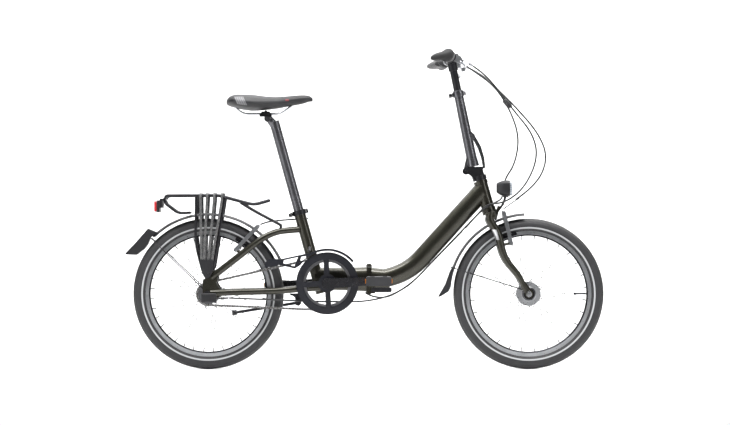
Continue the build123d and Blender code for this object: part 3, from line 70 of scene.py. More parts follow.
class Surface:
    """One procedural material, built up node by node on object coordinates."""

    def __init__(self, name, color, rough=0.4, metal=0.0, coat=0.0, coat_rough=0.08, sheen=0.0):
        self.mat = bpy.data.materials.new(name)
        self.mat.use_nodes = True
        self.tree = self.mat.node_tree
        self.bsdf = self.tree.nodes["Principled BSDF"]
        self.bsdf.inputs["Metallic"].default_value = metal
        self.bsdf.inputs["Coat Weight"].default_value = coat
        self.bsdf.inputs["Coat Roughness"].default_value = coat_rough
        self.bsdf.inputs["Sheen Weight"].default_value = sheen
        self.where = self.add("ShaderNodeTexCoord").outputs["Object"]
        self.color = self.constant(color)
        self.rough = rough
        self.height = None

    def add(self, kind, **values):
        node = self.tree.nodes.new(kind)
        for key, value in values.items():
            setattr(node, key, value)
        return node

    def link(self, value, socket):
        if isinstance(value, bpy.types.NodeSocket):
            self.tree.links.new(value, socket)
        elif isinstance(value, (tuple, list)) and len(value) == 3 and len(socket.default_value) == 4:
            socket.default_value = (*value, 1)
        else:
            socket.default_value = value

    def constant(self, color):
        node = self.add("ShaderNodeRGB")
        node.outputs[0].default_value = (*color, 1)
        return node.outputs[0]

    def math(self, operation, a, b=0.0, c=0.0):
        node = self.add("ShaderNodeMath", operation=operation)
        for value, socket in zip((a, b, c), node.inputs):
            self.link(value, socket)
        return node.outputs[0]

    def mix(self, amount, a, b):
        node = self.add("ShaderNodeMix", data_type="RGBA")
        self.link(amount, node.inputs[0])
        self.link(a, node.inputs[6])
        self.link(b, node.inputs[7])
        return node.outputs[2]

    def blend_value(self, amount, a, b):
        node = self.add("ShaderNodeMix", data_type="FLOAT")
        self.link(amount, node.inputs[0])
        self.link(a, node.inputs[2])
        self.link(b, node.inputs[3])
        return node.outputs[0]

    def noise(self, scale, detail=3.0, stretch=None):
        where = self.where
        if stretch:
            mapping = self.add("ShaderNodeMapping")
            mapping.inputs["Scale"].default_value = stretch
            self.link(where, mapping.inputs[0])
            where = mapping.outputs[0]
        node = self.add("ShaderNodeTexNoise")
        node.inputs["Scale"].default_value = scale
        node.inputs["Detail"].default_value = detail
        self.link(where, node.inputs["Vector"])
        return node.outputs[0]

    def ramp(self, value, low, high):
        node = self.add("ShaderNodeMapRange")
        self.link(value, node.inputs[0])
        node.inputs[1].default_value = low
        node.inputs[2].default_value = high
        return node.outputs[0]

    def axis(self, letter, middle=0.0):
        node = self.add("ShaderNodeSeparateXYZ")
        self.link(self.where, node.inputs[0])
        return self.math("SUBTRACT", node.outputs[letter], middle)

    def radius(self, x, z):
        a = self.axis("X", x)
        b = self.axis("Z", z)
        return self.math("SQRT", self.math("ADD", self.math("MULTIPLY", a, a), self.math("MULTIPLY", b, b)))

    def turn(self, x, z):
        """Angle about an axle, in radians."""
        return self.math("ARCTAN2", self.axis("Z", z), self.axis("X", x))

    def band(self, value, low, high, soft=0.0004):
        rise = self.ramp(value, low - soft, low + soft)
        fall = self.ramp(value, high + soft, high - soft)
        return self.math("MULTIPLY", rise, fall)

    def raise_by(self, value, depth):
        part = self.math("MULTIPLY", value, depth)
        self.height = part if self.height is None else self.math("ADD", self.height, part)

    def mottle(self, scale=14, amount=0.25, tint=(0.5, 0.5, 0.5)):
        patches = self.ramp(self.noise(scale), 0.4, 0.75)
        self.color = self.mix(self.math("MULTIPLY", patches, amount), self.color, tint)

    def worn(self, color, amount=0.6, width=0.0007):
        """Paler, smoother wear along edges, found by comparing the rounded and the true normal."""
        bevel = self.add("ShaderNodeBevel", samples=4)
        bevel.inputs["Radius"].default_value = width
        true = self.add("ShaderNodeNewGeometry").outputs["Normal"]
        dot = self.add("ShaderNodeVectorMath", operation="DOT_PRODUCT")
        self.link(bevel.outputs[0], dot.inputs[0])
        self.link(true, dot.inputs[1])
        edge = self.ramp(dot.outputs["Value"], 0.99, 0.85)
        patch = self.ramp(self.noise(60, 4), 0.4, 0.6)
        share = self.math("MULTIPLY", self.math("MULTIPLY", edge, patch), amount)
        self.color = self.mix(share, self.color, color)
        self.round = bevel.outputs[0]

    def done(self):
        self.link(self.color, self.bsdf.inputs["Base Color"])
        self.link(self.rough, self.bsdf.inputs["Roughness"])
        if self.height is not None:
            bump = self.add("ShaderNodeBump")
            bump.inputs["Strength"].default_value = 1.0
            bump.inputs["Distance"].default_value = 1.0
            self.link(self.height, bump.inputs["Height"])
            if hasattr(self, "round"):
                self.link(self.round, bump.inputs["Normal"])
            self.link(bump.outputs[0], self.bsdf.inputs["Normal"])
        return self.mat


def paint():
    s = Surface("frame_paint", (0.034, 0.0325, 0.0245), metal=0.85, coat=0.5, coat_rough=0.10)
    s.mottle(9, 0.3, (0.046, 0.044, 0.033))
    s.color = s.mix(s.ramp(s.noise(2600, 1), 0.55, 0.75), s.color, (0.11, 0.105, 0.084))
    s.rough = s.blend_value(s.noise(35), 0.30, 0.42)
    s.worn((0.17, 0.165, 0.15), 0.35)
    s.raise_by(s.noise(420, 2), 0.00002)
    return s


def anodised(name="black_alloy", color=(0.030, 0.030, 0.033), rough=0.36, edges=True):
    s = Surface(name, color, metal=0.85)
    s.mottle(22, 0.35, tuple(c * 1.8 for c in color))
    s.rough = s.blend_value(s.noise(90, 4), rough - 0.06, rough + 0.1)
    if edges:
        s.worn((0.30, 0.30, 0.31), 0.5)
        s.raise_by(s.noise(900, 2), 0.00001)
    return s


def silver(name="silver_alloy", color=(0.40, 0.41, 0.43), rough=0.3, grain=(1, 1, 1)):
    s = Surface(name, color, metal=1.0)
    s.mottle(40, 0.35, tuple(c * 0.6 for c in color))
    s.rough = s.blend_value(s.noise(180, 4, grain), rough - 0.08, rough + 0.14)
    s.worn((0.75, 0.75, 0.76), 0.4)
    s.raise_by(s.noise(700, 2, grain), 0.000012)
    return s


def plastic(name="black_plastic", color=(0.010, 0.010, 0.012), rough=0.45, grain=1400):
    s = Surface(name, color)
    s.mottle(18, 0.3, tuple(c * 1.7 for c in color))
    s.rough = s.blend_value(s.noise(60, 3), rough - 0.06, rough + 0.1)
    s.worn((0.09, 0.09, 0.1), 0.5)
    s.raise_by(s.noise(grain, 2), 0.00004)
    return s


def rubber(name="soft_black", color=(0.013, 0.013, 0.014), grain=900):
    s = Surface(name, color, sheen=0.15)
    s.mottle(30, 0.4, (0.028, 0.028, 0.030))
    s.rough = s.blend_value(s.noise(50, 3), 0.5, 0.68)
    s.raise_by(s.noise(grain, 3), 0.00005)
    return s


def rim_alloy(name, x):
    s = silver(name, (0.46, 0.47, 0.49), 0.28)
    r = s.radius(x, AXLE_Z)
    inner = s.ramp(r, 0.1975, 0.1965)
    s.color = s.mix(inner, s.color, (0.03, 0.03, 0.033))
    rings = s.math("SINE", s.math("MULTIPLY", r, 9000))
    s.raise_by(s.math("MULTIPLY", rings, s.ramp(r, 0.1985, 0.1995)), 0.000012)
    return s


def tyre_rubber(name, x):
    s = rubber(name, (0.019, 0.019, 0.021), 1100)
    r = s.radius(x, AXLE_Z)
    stripe = s.band(r, 0.2165, 0.2215)
    stripe = s.math("MULTIPLY", stripe, s.ramp(s.math("ABSOLUTE", s.axis("Y")), 0.012, 0.014))
    s.color = s.mix(stripe, s.color, (0.47, 0.48, 0.49))
    ribs = s.math("SINE", s.math("MULTIPLY", s.turn(x, AXLE_Z), 420))
    side = s.band(r, 0.2245, 0.2345)
    s.raise_by(s.math("MULTIPLY", ribs, side), 0.00016)
    s.color = s.mix(s.math("MULTIPLY", s.ramp(s.noise(16), 0.45, 0.7), s.ramp(r, 0.240, 0.248)),
                    s.color, (0.045, 0.043, 0.041))
    return s


def hub_metal(name, x, cap_y):
    s = silver(name, (0.52, 0.53, 0.55), 0.27)
    cap = s.ramp(s.math("ABSOLUTE", s.axis("Y")), cap_y, cap_y + 0.0006)
    s.color = s.mix(cap, s.color, (0.03, 0.03, 0.034))
    rings = s.math("SINE", s.math("MULTIPLY", s.radius(x, AXLE_Z), 7000))
    s.raise_by(rings, 0.00001)
    return s


def chain_steel():
    s = silver("chain_steel", (0.42, 0.42, 0.43), 0.34)
    oil = s.ramp(s.noise(240, 4), 0.42, 0.6)
    s.color = s.mix(oil, s.color, (0.10, 0.09, 0.075))
    return s


def woven():
    """Elastic webbing: pale and dark diamonds across a ribbed black band."""
    s = Surface("strap_fabric", (0.010, 0.010, 0.011))
    z = s.math("MULTIPLY", s.axis("Z"), 800)
    across = s.math("MULTIPLY", s.axis("X"), 1250)
    a = s.math("SINE", s.math("ADD", z, across))
    b = s.math("SINE", s.math("SUBTRACT", z, across))
    check = s.ramp(s.math("MULTIPLY", a, b), 0.25, 0.35)
    s.color = s.mix(check, s.color, (0.30, 0.30, 0.30))
    threads = s.math("SINE", s.math("MULTIPLY", s.axis("Z"), 5200))
    s.raise_by(s.math("MULTIPLY", a, b), 0.00010)
    s.raise_by(threads, 0.00006)
    s.rough = s.blend_value(s.noise(200), 0.7, 0.88)
    return s


def reflector(name, color):
    s = Surface(name, color, coat=1.0, coat_rough=0.03)
    u = s.math("SINE", s.math("MULTIPLY", s.axis("Y"), 1600))
    v = s.math("SINE", s.math("MULTIPLY", s.axis("Z"), 1600))
    cells = s.math("MULTIPLY", u, v)
    s.color = s.mix(s.ramp(cells, -0.2, 0.6), s.color, tuple(min(1, c * 2.2 + 0.02) for c in color))
    s.raise_by(cells, 0.00015)
    s.rough = s.blend_value(s.noise(80), 0.12, 0.22)
    return s


def clear_lens():
    s = Surface("clear_lens", (0.42, 0.46, 0.50), rough=0.08, coat=1.0, coat_rough=0.02)
    s.bsdf.inputs["Transmission Weight"].default_value = 0.55
    ribs = s.math("SINE", s.math("MULTIPLY", s.axis("Y"), 1300))
    cross = s.math("SINE", s.math("MULTIPLY", s.axis("Z"), 900))
    s.raise_by(s.math("ADD", ribs, s.math("MULTIPLY", cross, 0.5)), 0.0002)
    s.color = s.mix(s.ramp(cross, 0.2, 0.8), s.color, (0.26, 0.29, 0.33))
    s.rough = s.blend_value(s.noise(120), 0.05, 0.12)
    return s


def with_zone(surface, mask, color, rough=None):
    surface.color = surface.mix(mask, surface.color, color)
    if rough is not None:
        surface.rough = surface.blend_value(mask, surface.rough, rough)
    return surface


def pedal_plastic(name, x, z):
    s = plastic(name, (0.025, 0.025, 0.028), 0.5, 700)
    out = s.ramp(s.math("ABSOLUTE", s.axis("X", x)), 0.0420, 0.0422)
    cells = s.math("SINE", s.math("MULTIPLY", s.axis("Y"), 1900))
    amber = s.mix(s.ramp(cells, -0.3, 0.7), (0.55, 0.16, 0.01), (0.95, 0.38, 0.04))
    with_zone(s, out, amber, 0.15)
    return s


def fork_paint():
    """Frame paint with a plain reflective patch on the outside of each blade, white at the top and darkened
    to grey towards its lower end by painted shade.
    """
    s = paint()
    s.mat.name = "fork_paint"
    start = spot(951, 0, 446)
    tall = s.band(s.axis("Z", start.z), -0.017, 0.017)
    outside = s.ramp(s.math("ABSOLUTE", s.axis("Y")), 0.0445, 0.046)
    slope = s.math("ADD", s.axis("X", start.x), s.math("MULTIPLY", s.axis("Z", start.z), 0.30))
    wide = s.band(slope, -0.008, 0.008)
    # painted shade: the patch colour runs from grey at its lower end to white at its top
    painted_shade_fade = s.ramp(s.axis("Z", start.z), -0.02, 0.02)
    patch = s.mix(painted_shade_fade, (0.30, 0.30, 0.31), (0.85, 0.86, 0.87))
    with_zone(s, s.math("MULTIPLY", s.math("MULTIPLY", tall, wide), outside), patch, 0.3)
    return s


def bar_metal():
    s = anodised("bar_metal", (0.018, 0.018, 0.02), 0.34)
    y = s.math("ABSOLUTE", s.axis("Y"))
    perch = s.band(y, 0.1265, 0.1455)
    with_zone(s, perch, (0.42, 0.43, 0.45), 0.32)
    return s


def brake_metal(name, side):
    """Silver brake arm with a black shoe where it meets the rim."""
    s = silver(name, (0.36, 0.37, 0.39), 0.3)
    shoe = s.ramp(s.math("ABSOLUTE", s.axis("Y")), side + 0.0006, side)
    with_zone(s, shoe, (0.02, 0.02, 0.022), 0.65)
    return s


def finish_all():
    """A material for every CAD node, by name."""
    frame_paint = paint().done()
    black = anodised().done()
    post = anodised("post_alloy", (0.13, 0.13, 0.14), 0.27).done()
    silver_alloy = silver().done()
    chrome = silver("chrome", (0.50, 0.51, 0.53), 0.16).done()
    steel = silver("spoke_steel", (0.09, 0.092, 0.097), 0.24).done()
    black_plastic = plastic().done()
    guard_plastic = plastic("guard_plastic", (0.008, 0.0085, 0.013), 0.34, 1800).done()
    soft = rubber().done()
    grip_rubber = rubber("grip_rubber", (0.020, 0.020, 0.022), 500).done()
    wears = {
        frame_paint: ("rear_main_tube", "seat_tube", "seat_stays", "chainstays", "main_tube", "head_tube"),
        black: ("seat_clamp", "seat_clamp_lever", "saddle_clamp", "handlebar_stem", "kickstand_bracket",
                "kickstand_leg", "rack", "handlepost_base", "telescope_lever", "frame_latch_lever"),
        post: ("handlepost", "seatpost"),
        silver_alloy: ("right_brake_lever", "left_brake_lever"),
        chrome: ("rear_axle", "front_axle", "handlepost_latch_lever", "saddle_rails"),
        steel: ("rear_spokes", "front_spokes"),
        black_plastic: ("rear_mudguard", "front_mudguard", "tail_light_housing", "headlight_housing",
                        "gear_shift_box", "twist_shifter"),
        guard_plastic: ("chain_guard", "chainring_guard"),
        soft: ("upper_cables", "lower_cables"),
        grip_rubber: ("grips",),
    }
    for material, names in wears.items():
        for name in names:
            dress(name, material)
    crank = anodised("crank_alloy", (0.050, 0.050, 0.055), 0.24, edges=False).done()
    dress("right_crank", crank)
    dress("left_crank", crank)
    steel_ring = silver("ring_steel", (0.20, 0.20, 0.21), 0.32).done()
    dress("chainring", steel_ring)
    dress("rear_sprocket", steel_ring)
    dress("chain", chain_steel().done())
    dress("fork", fork_paint().done())
    dress("rear_rim", rim_alloy("rear_rim_alloy", REAR_X).done())
    dress("front_rim", rim_alloy("front_rim_alloy", FRONT_X).done())
    dress("rear_tyre", tyre_rubber("rear_tyre_rubber", REAR_X).done())
    dress("front_tyre", tyre_rubber("front_tyre_rubber", FRONT_X).done())
    dress("rear_hub", hub_metal("rear_hub_metal", REAR_X, 0.0335).done())
    dress("front_hub", hub_metal("front_hub_metal", FRONT_X, 0.0285).done())
    dress("rack_straps", woven().done())
    dress("tail_light_lens", reflector("red_lens", (0.32, 0.012, 0.015)).done())
    dress("headlight_lens", clear_lens().done())
    dress("handlebar", bar_metal().done())
    for side, name in ((1, "right"), (-1, "left")):
        x = CRANK_X + side * CRANK_LENGTH * math.cos(CRANK_TILT)
        z = CRANK_Z + side * CRANK_LENGTH * math.sin(CRANK_TILT)
        dress(name + "_pedal", pedal_plastic(name + "_pedal_plastic", x, z).done())
    for wheel in ("front", "rear"):
        metal = brake_metal(wheel + "_brake_metal", BRAKE_SHOE_Y).done()
        for side in ("left", "right"):
            dress(f"{wheel}_brake_arm_{side}", metal)
    dress("saddle", black_plastic)
    bare = [name for name in NODES if not NODES[name].get("dressed")]
    if bare:
        raise RuntimeError(f"no material for {bare}")


def dress(name, material):
    node = NODES[name]
    node.data.materials.clear()
    node.data.materials.append(material)
    node["dressed"] = True


# ---------------------------------------------------------------- meshes

def side_name(side):
    return "left" if side > 0 else "right"


def ring_faces(rings, around):
    """Quads between successive rings of points, then a cap at each end."""
    faces = []
    for i in range(rings - 1):
        for k in range(around):
            a = i * around + k
            b = i * around + (k + 1) % around
            faces.append((a, b, b + around, a + around))
    last = (rings - 1) * around
    faces += [tuple(range(around))[::-1], tuple(range(last, last + around))]
    return faces


def mesh_object(name, verts, faces, material, smooth=True):
    mesh = bpy.data.meshes.new(name)
    mesh.from_pydata([tuple(v) for v in verts], [], faces)
    mesh.update()
    obj = bpy.data.objects.new(name, mesh)
    bpy.context.scene.collection.objects.link(obj)
    mesh.materials.append(material)
    for polygon in mesh.polygons:
        polygon.use_smooth = smooth
    return obj


# ---------------------------------------------------------------- tyres

def tyre_mesh(name, x, material, body):
    """A tyre carcass with cut tread: a ribbed middle, diagonal sipes and shoulder blocks."""
    around = 720
    across = 56
    middle = 0.2266
    reach = 0.0233
    low = math.radians(141)
    bead_r = 0.2088
    bead_y = 0.0106
    verts = []
    for i in range(around):
        turn = 2 * math.pi * i / around
        for j in range(across):
            a = -low + 2 * low * j / (across - 1)
            s = a / low
            cut = 0.0
            if abs(s) < 0.42:
                slot = (i + round(abs(s) * 26)) % 9
                if abs(abs(s) - 0.11) < 0.019 or abs(abs(s) - 0.27) < 0.019:
                    cut = 0.0013
                elif slot == 0 and abs(s) > 0.12:
                    cut = 0.0012
                elif (i + round(s * 26)) % 18 == 5 and abs(s) < 0.10:
                    cut = 0.0009
            elif abs(s) < 0.47:
                cut = 0.0006
            r = middle + (reach - cut) * math.cos(a)
            y = (reach - cut) * math.sin(a)
            verts.append((x + r * math.cos(turn), y, AXLE_Z + r * math.sin(turn)))
        verts.append((x + bead_r * math.cos(turn), bead_y, AXLE_Z + bead_r * math.sin(turn)))
        verts.append((x + bead_r * math.cos(turn), -bead_y, AXLE_Z + bead_r * math.sin(turn)))
    ring = across + 2
    faces = []
    for i in range(around):
        for j in range(ring):
            a = i * ring + j
            b = i * ring + (j + 1) % ring
            c = ((i + 1) % around) * ring + (j + 1) % ring
            d = ((i + 1) % around) * ring + j
            faces.append((a, b, c, d))
    tyre = mesh_object(name, verts, faces, material)
    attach(tyre, body)
    return tyre


def build_tyres():
    for end, x in (("rear", REAR_X), ("front", FRONT_X)):
        skin = tyre_rubber(end + "_tread_rubber", x).done()
        tyre = tyre_mesh(end + "_tyre_tread", x, skin, end + "_wheel")
        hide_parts(end + "_tyre")


# ---------------------------------------------------------------- saddle

# Distance along, half width, crown height and skirt height, in millimetres from under the rear axle
SADDLE = [(60, 22, 893, 878), (70, 52, 904, 872), (88, 73, 911, 867), (115, 81, 911.5, 861),
          (150, 78, 910, 857), (190, 60, 905.5, 860), (228, 39, 904, 864), (265, 27, 907, 871),
          (305, 22, 910, 878), (332, 17, 908, 886), (346, 8, 899, 888)]


def smooth_table(rows, steps):
    """Rows interpolated by a cubic that passes through each of them."""
    out = []
    count = len(rows)
    for k in range(steps):
        t = k / (steps - 1) * (count - 1)
        i = min(int(t), count - 2)
        f = t - i
        picks = [rows[max(0, i - 1)], rows[i], rows[i + 1], rows[min(count - 1, i + 2)]]
        out.append([0.5 * (2 * b + (c - a) * f + (2 * a - 5 * b + 4 * c - d) * f * f
                           + (3 * b - a - 3 * c + d) * f ** 3) for a, b, c, d in zip(*picks)])
    return out


def saddle_cover_material():
    s = plastic("saddle_leather", (0.013, 0.013, 0.0145), 0.48, 1500)
    s.raise_by(s.noise(2400, 4), 0.00010)
    lo = spot(104, 0, 866)
    side = s.ramp(s.math("ABSOLUTE", s.axis("Y")), 0.045, 0.050)
    slant = s.math("ADD", s.axis("X", lo.x), s.math("MULTIPLY", s.axis("Z", lo.z), 0.45))
    panel = s.math("MULTIPLY", s.band(slant, 0.0, 0.030), side)
    panel = s.math("MULTIPLY", panel, s.band(s.axis("Z"), 0.864, 0.902))
    hatch = s.ramp(s.math("SINE", s.math("MULTIPLY", slant, 900)), -0.4, 0.4)
    with_zone(s, panel, s.mix(hatch, (0.10, 0.10, 0.105), (0.20, 0.20, 0.21)), 0.5)
    red = spot(262, 0, 893)
    accent = s.math("MULTIPLY", s.band(s.axis("X", red.x), -0.006, 0.005),
                    s.band(s.axis("Z", red.z), -0.004, 0.003))
    with_zone(s, accent, (0.16, 0.02, 0.025), 0.5)
    return s


def build_saddle():
    rows = smooth_table(SADDLE, 110)
    around = 88
    verts = []
    for x, half, high, low in rows:
        along = (x - 60) / 286
        for j in range(around):
            a = 2 * math.pi * j / around
            c, n = math.cos(a), math.sin(a)
            power = 0.78 if n > 0 else 0.62
            y = half * math.copysign(abs(c) ** power, c)
            mid = low + (high - low) * 0.42
            if n > 0:
                z = mid + (high - mid) * n ** 0.92
                dip = 2.2 * math.exp(-(y / 8) ** 2) * math.sin(math.pi * min(1, max(0, along)))
                z -= dip
            else:
                z = mid + (mid - low) * n
                y *= 1 - 0.10 * abs(n)
            seam = abs(math.degrees(a) % 180 - 90)
            if n > 0 and abs(seam - 62) < 2.2:
                y -= math.copysign(0.7, c)
                z -= 0.5
            verts.append(spot(x, y, z))
    cover = mesh_object("saddle_cover", verts, ring_faces(len(rows), around), saddle_cover_material().done())
    cover.data.materials.append(plastic("saddle_base", (0.012, 0.012, 0.013), 0.5).done())
    for polygon in cover.data.polygons:
        if polygon.normal.z < -0.75:
            polygon.material_index = 1
    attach(cover, "seat_unit")
    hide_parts("saddle")
    build_saddle_stitches(rows)


def build_saddle_stitches(rows):
    """A row of raised thread beside the seam on each side of the cover."""
    thread = rubber("saddle_thread", (0.10, 0.10, 0.105), 2000).done()
    for side in (1, -1):
        verts = []
        faces = []
        for x, half, high, low in rows[12:-10]:
            mid = low + (high - low) * 0.42
            a = math.radians(90 - side * 56)
            c, n = math.cos(a), math.sin(a)
            place = spot(x, half * math.copysign(abs(c) ** 0.78, c), mid + (high - mid) * n ** 0.92)
            base = len(verts)
            for dx in (-0.9, 0.9):
                for dy, dz in ((-0.35, 0.0), (0, 0.35), (0.35, 0.0), (0, -0.35)):
                    verts.append(place + Vector((dx, dy, dz)) / 1000)
            for k in range(4):
                m = (k + 1) % 4
                faces.append((base + k, base + m, base + 4 + m, base + 4 + k))
            faces += [(base + 3, base + 2, base + 1, base), (base + 4, base + 5, base + 6, base + 7)]
        stitches = mesh_object(f"saddle_stitches_{side_name(side)}", verts, faces, thread)
        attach(stitches, "seat_unit")


# ---------------------------------------------------------------- grips

def bar_point(y):
    t = max(0.0, (y - 60) / 230)
    return Vector((805 - 20 * t, y, 1031 - 4 * t))


def ray_to_ellipse(du, dv, cu, cv, a, b):
    """Distance from the origin to an ellipse's edge, in a direction, from a point inside it."""
    p = (du / a) ** 2 + (dv / b) ** 2
    q = -2 * (du * cu / a ** 2 + dv * cv / b ** 2)
    r = (cu / a) ** 2 + (cv / b) ** 2 - 1
    root = q * q - 4 * p * r
    return (-q + math.sqrt(root)) / (2 * p) if root > 0 else 0.0


def build_grips():
    wing = [(0.0, 22, 22), (0.35, 32, 27), (0.7, 42, 30), (0.93, 44, 28), (1.0, 40, 20)]
    steps = 72
    around = 72
    material = rubber("grip_skin", (0.012, 0.012, 0.013), 700)
    rows = material.math("SINE", material.math("MULTIPLY", material.axis("Y"), 1700))
    columns = material.math("SINE", material.math("MULTIPLY", material.axis("X"), 1700))
    material.raise_by(material.math("MULTIPLY", rows, columns), 0.00025)
    skin = material.done()
    for side in (1, -1):
        verts = []
        for i in range(steps):
            t = i / (steps - 1)
            centre = bar_point(186.5 + 107 * t)
            k = max(n for n in range(len(wing) - 1) if wing[n][0] <= t)
            f = min(1, (t - wing[k][0]) / (wing[k + 1][0] - wing[k][0]))
            reach = wing[k][1] + (wing[k + 1][1] - wing[k][1]) * f
            thick = wing[k][2] + (wing[k + 1][2] - wing[k][2]) * f
            core = 18 + 3 * t + 0.5 * math.sin(t * 60) - (3 if t < 0.02 or t > 0.98 else 0)
            if t < 0.09:
                core = 16.5
                reach = 12
            for j in range(around):
                a = 2 * math.pi * j / around
                du, dv = math.cos(a), math.sin(a)
                edge = ray_to_ellipse(du, dv, -reach / 2, 1, reach / 2 + 12, thick / 2)
                r = (core ** 6 + edge ** 6) ** (1 / 6)
                verts.append(spot(centre.x + r * du, side * centre.y, centre.z + r * (dv + 0.18 * du)))
        grip = mesh_object(f"grip_{side_name(side)}", verts, ring_faces(steps, around), skin)
        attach(grip, "cockpit")
    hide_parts("grips")


# ---------------------------------------------------------------- cables

CABLE_R = 0.0029
CLIP = (987.6, 0, 879.8)
HEAD_TURN = 6  # the control point where a cable starts to round the head tube
UPPER = {
    "front_brake_cable": [(862, 118, 1008), (905, 60, 985), (960, 12, 930), (1030, 10, 860), (1098, 10, 780),
                          (1128, 10, 700), (1090, 10, 610), (1020, 12, 562)],
    "rear_brake_cable": [(862, -118, 1008), (905, -60, 985), (956, -6, 934), (1012, 0, 860), (1078, 0, 780),
                         (1094, 0, 700), (1050, -26, 604), (985, -36, 552), (925, -34, 548), (898, -33, 520),
                         (852, -14, 468)],
    "gear_cable": [(830, -150, 1012), (880, -70, 985), (950, -16, 938), (1000, -9, 862), (1032, -10, 770),
                   (1018, 14, 680), (986, 46, 632), (984, 44, 598), (974, 26, 564), (957, -14, 556),
                   (934, -35, 545), (905, -34, 526), (876, -28, 496), (846, -4, 464)],
}
LOWER = {
    "gear_cable_low": [(848, -14, 466), (760, -14, 376), (684, -12, 292), (610, -14, 244), (520, -20, 224),
                       (430, -28, 224), (305, -33, 227), (160, -66, 234), (72, -84, 238)],
    "brake_cable_low": [(842, -4, 458), (755, -4, 368), (676, -2, 286), (640, 0, 262), (592, 0, 236),
                        (540, 0, 240), (520, 0, 254)],
}
REAR_BRAKE = [(330, 26, 500), (292, 32, 497), (236, 40, 494), (190, 44, 488), (172, 30, 480)]


def smooth_route(points):
    """Points along the NURBS spline that has these control points, in metres."""
    curve = bpy.data.curves.new("route", "CURVE")
    curve.dimensions = "3D"
    spline = curve.splines.new("NURBS")
    spline.points.add(len(points) - 1)
    for control, p in zip(spline.points, points):
        control.co = (*spot(*p), 1)
    spline.order_u = 3
    spline.use_endpoint_u = True
    spline.resolution_u = 14
    obj = bpy.data.objects.new("route", curve)
    bpy.context.scene.collection.objects.link(obj)
    bpy.context.view_layer.update()
    graph = bpy.context.evaluated_depsgraph_get()
    mesh = bpy.data.meshes.new_from_object(obj.evaluated_get(graph))
    line = [v.co.copy() for v in mesh.vertices]
    bpy.data.objects.remove(obj)
    bpy.data.curves.remove(curve)
    bpy.data.meshes.remove(mesh)
    return line


def tube(name, line, radii, material, sides=14):
    """A closed round tube along a line of points; radii is one number or one for each point."""
    if not isinstance(radii, (list, tuple)):
        radii = [radii] * len(line)
    side = Vector((0, 1, 0))
    verts = []
    for i, point in enumerate(line):
        ahead = line[min(i + 1, len(line) - 1)] - line[max(i - 1, 0)]
        ahead.normalize()
        side = side - ahead * side.dot(ahead)
        side.normalize()
        other = ahead.cross(side)
        for k in range(sides):
            a = 2 * math.pi * k / sides
            verts.append(point + (side * math.cos(a) + other * math.sin(a)) * radii[i])
    return mesh_object(name, verts, ring_faces(len(line), sides), material)


def cable_material():
    s = rubber("cable_housing", (0.006, 0.006, 0.007), 600)
    s.rough = s.blend_value(s.noise(50, 3), 0.32, 0.45)
    return s.done()


def nearest(line, point):
    goal = spot(*point)
    return min(range(len(line)), key=lambda i: (line[i] - goal).length)


def build_cables():
    housing = cable_material()
    metal = silver("ferrule_metal", (0.45, 0.46, 0.48), 0.25).done()
    for name, points in UPPER.items():
        line = smooth_route(points)
        at_clip = nearest(line, CLIP)
        end = len(line) - 1
        parts = [("top", 0, at_clip, "cockpit", "handlepost_unit")]
        if name == "front_brake_cable":
            parts.append(("drop", at_clip, end, "handlepost_unit", "fork_unit"))
        else:
            turn = nearest(line, points[HEAD_TURN])
            parts.append(("drop", at_clip, turn, "handlepost_unit", "fork_unit"))
            parts.append(("head", turn, end, "fork_unit", "front_frame"))
        for label, first, last, a, b in parts:
            piece = tube(f"{name}_{label}", line[first:last + 1], CABLE_R, housing)
            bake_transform(piece)
        adjuster(name + "_adjuster", line[:9], metal)
    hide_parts("upper_cables")
    for name, points in LOWER.items():
        line = smooth_route(points)
        piece = tube(name, line, CABLE_R, housing)
        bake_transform(piece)
    brake = tube("rear_brake_cable_end", smooth_route(REAR_BRAKE), CABLE_R, housing)
    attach(brake, "rear_frame")
    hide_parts("lower_cables")


def adjuster(name, line, material):
    """Knurled barrel where a cable leaves its lever."""
    steps = 24
    total = (line[-1] - line[0]).length
    ahead = (line[-1] - line[0]).normalized()
    reach = min(total, 0.020)
    points = [line[0] + ahead * reach * i / (steps - 1) for i in range(steps)]
    radii = []
    for i in range(steps):
        t = i / (steps - 1)
        if t < 0.45:
            radii.append(0.0046 + (0.0004 if i % 2 else 0))
        elif t < 0.8:
            radii.append(0.0036 + (0.00025 if i % 2 else 0))
        else:
            radii.append(0.0032 * (1 - 0.2 * (t - 0.8)))
    barrel = tube(name, points, radii, material, 20)
    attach(barrel, "cockpit")


def build_cable_clip():
    """Moulded sleeve that holds the three cables together ahead of the bar."""
    material = plastic("clip_plastic", (0.014, 0.014, 0.016), 0.4).done()
    axis = Vector((0.66, 0, -0.75))
    steps = 26
    centre = spot(992, -1, 881)
    points = [centre + axis * (0.034 * (i / (steps - 1) - 0.5)) for i in range(steps)]
    radii = []
    for i in range(steps):
        t = abs(i / (steps - 1) - 0.5) * 2
        radii.append(0.0092 * (1 - 0.25 * t ** 4) + (0.0005 if i % 4 == 0 else 0))
    clip = tube("cable_clip", points, radii, material, 28)
    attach(clip, "handlepost_unit")


def build_noodle():
    """Bent metal guide that leads the front brake cable into its arm."""
    material = silver("noodle_metal", (0.50, 0.51, 0.53), 0.2).done()
    line = smooth_route([(1032, 12, 566), (1016, 13, 557), (1000, 14, 546), (984, 20, 534), (980, 30, 531)])
    guide = tube("front_brake_guide_pipe", line, 0.0022, material)
    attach(guide, "fork_unit")


# ---------------------------------------------------------------- rack straps

STRAP_TOPS = ((-24, -20), (-2, -12), (22, 2), (48, 14))
STRAP_W = 0.0085
STRAP_T = 0.0017
ANCHOR_IN = 67.5
ANCHOR_OUT = 73
EYELET = (4, 318)
EYELET_HOLE_R = 0.00315


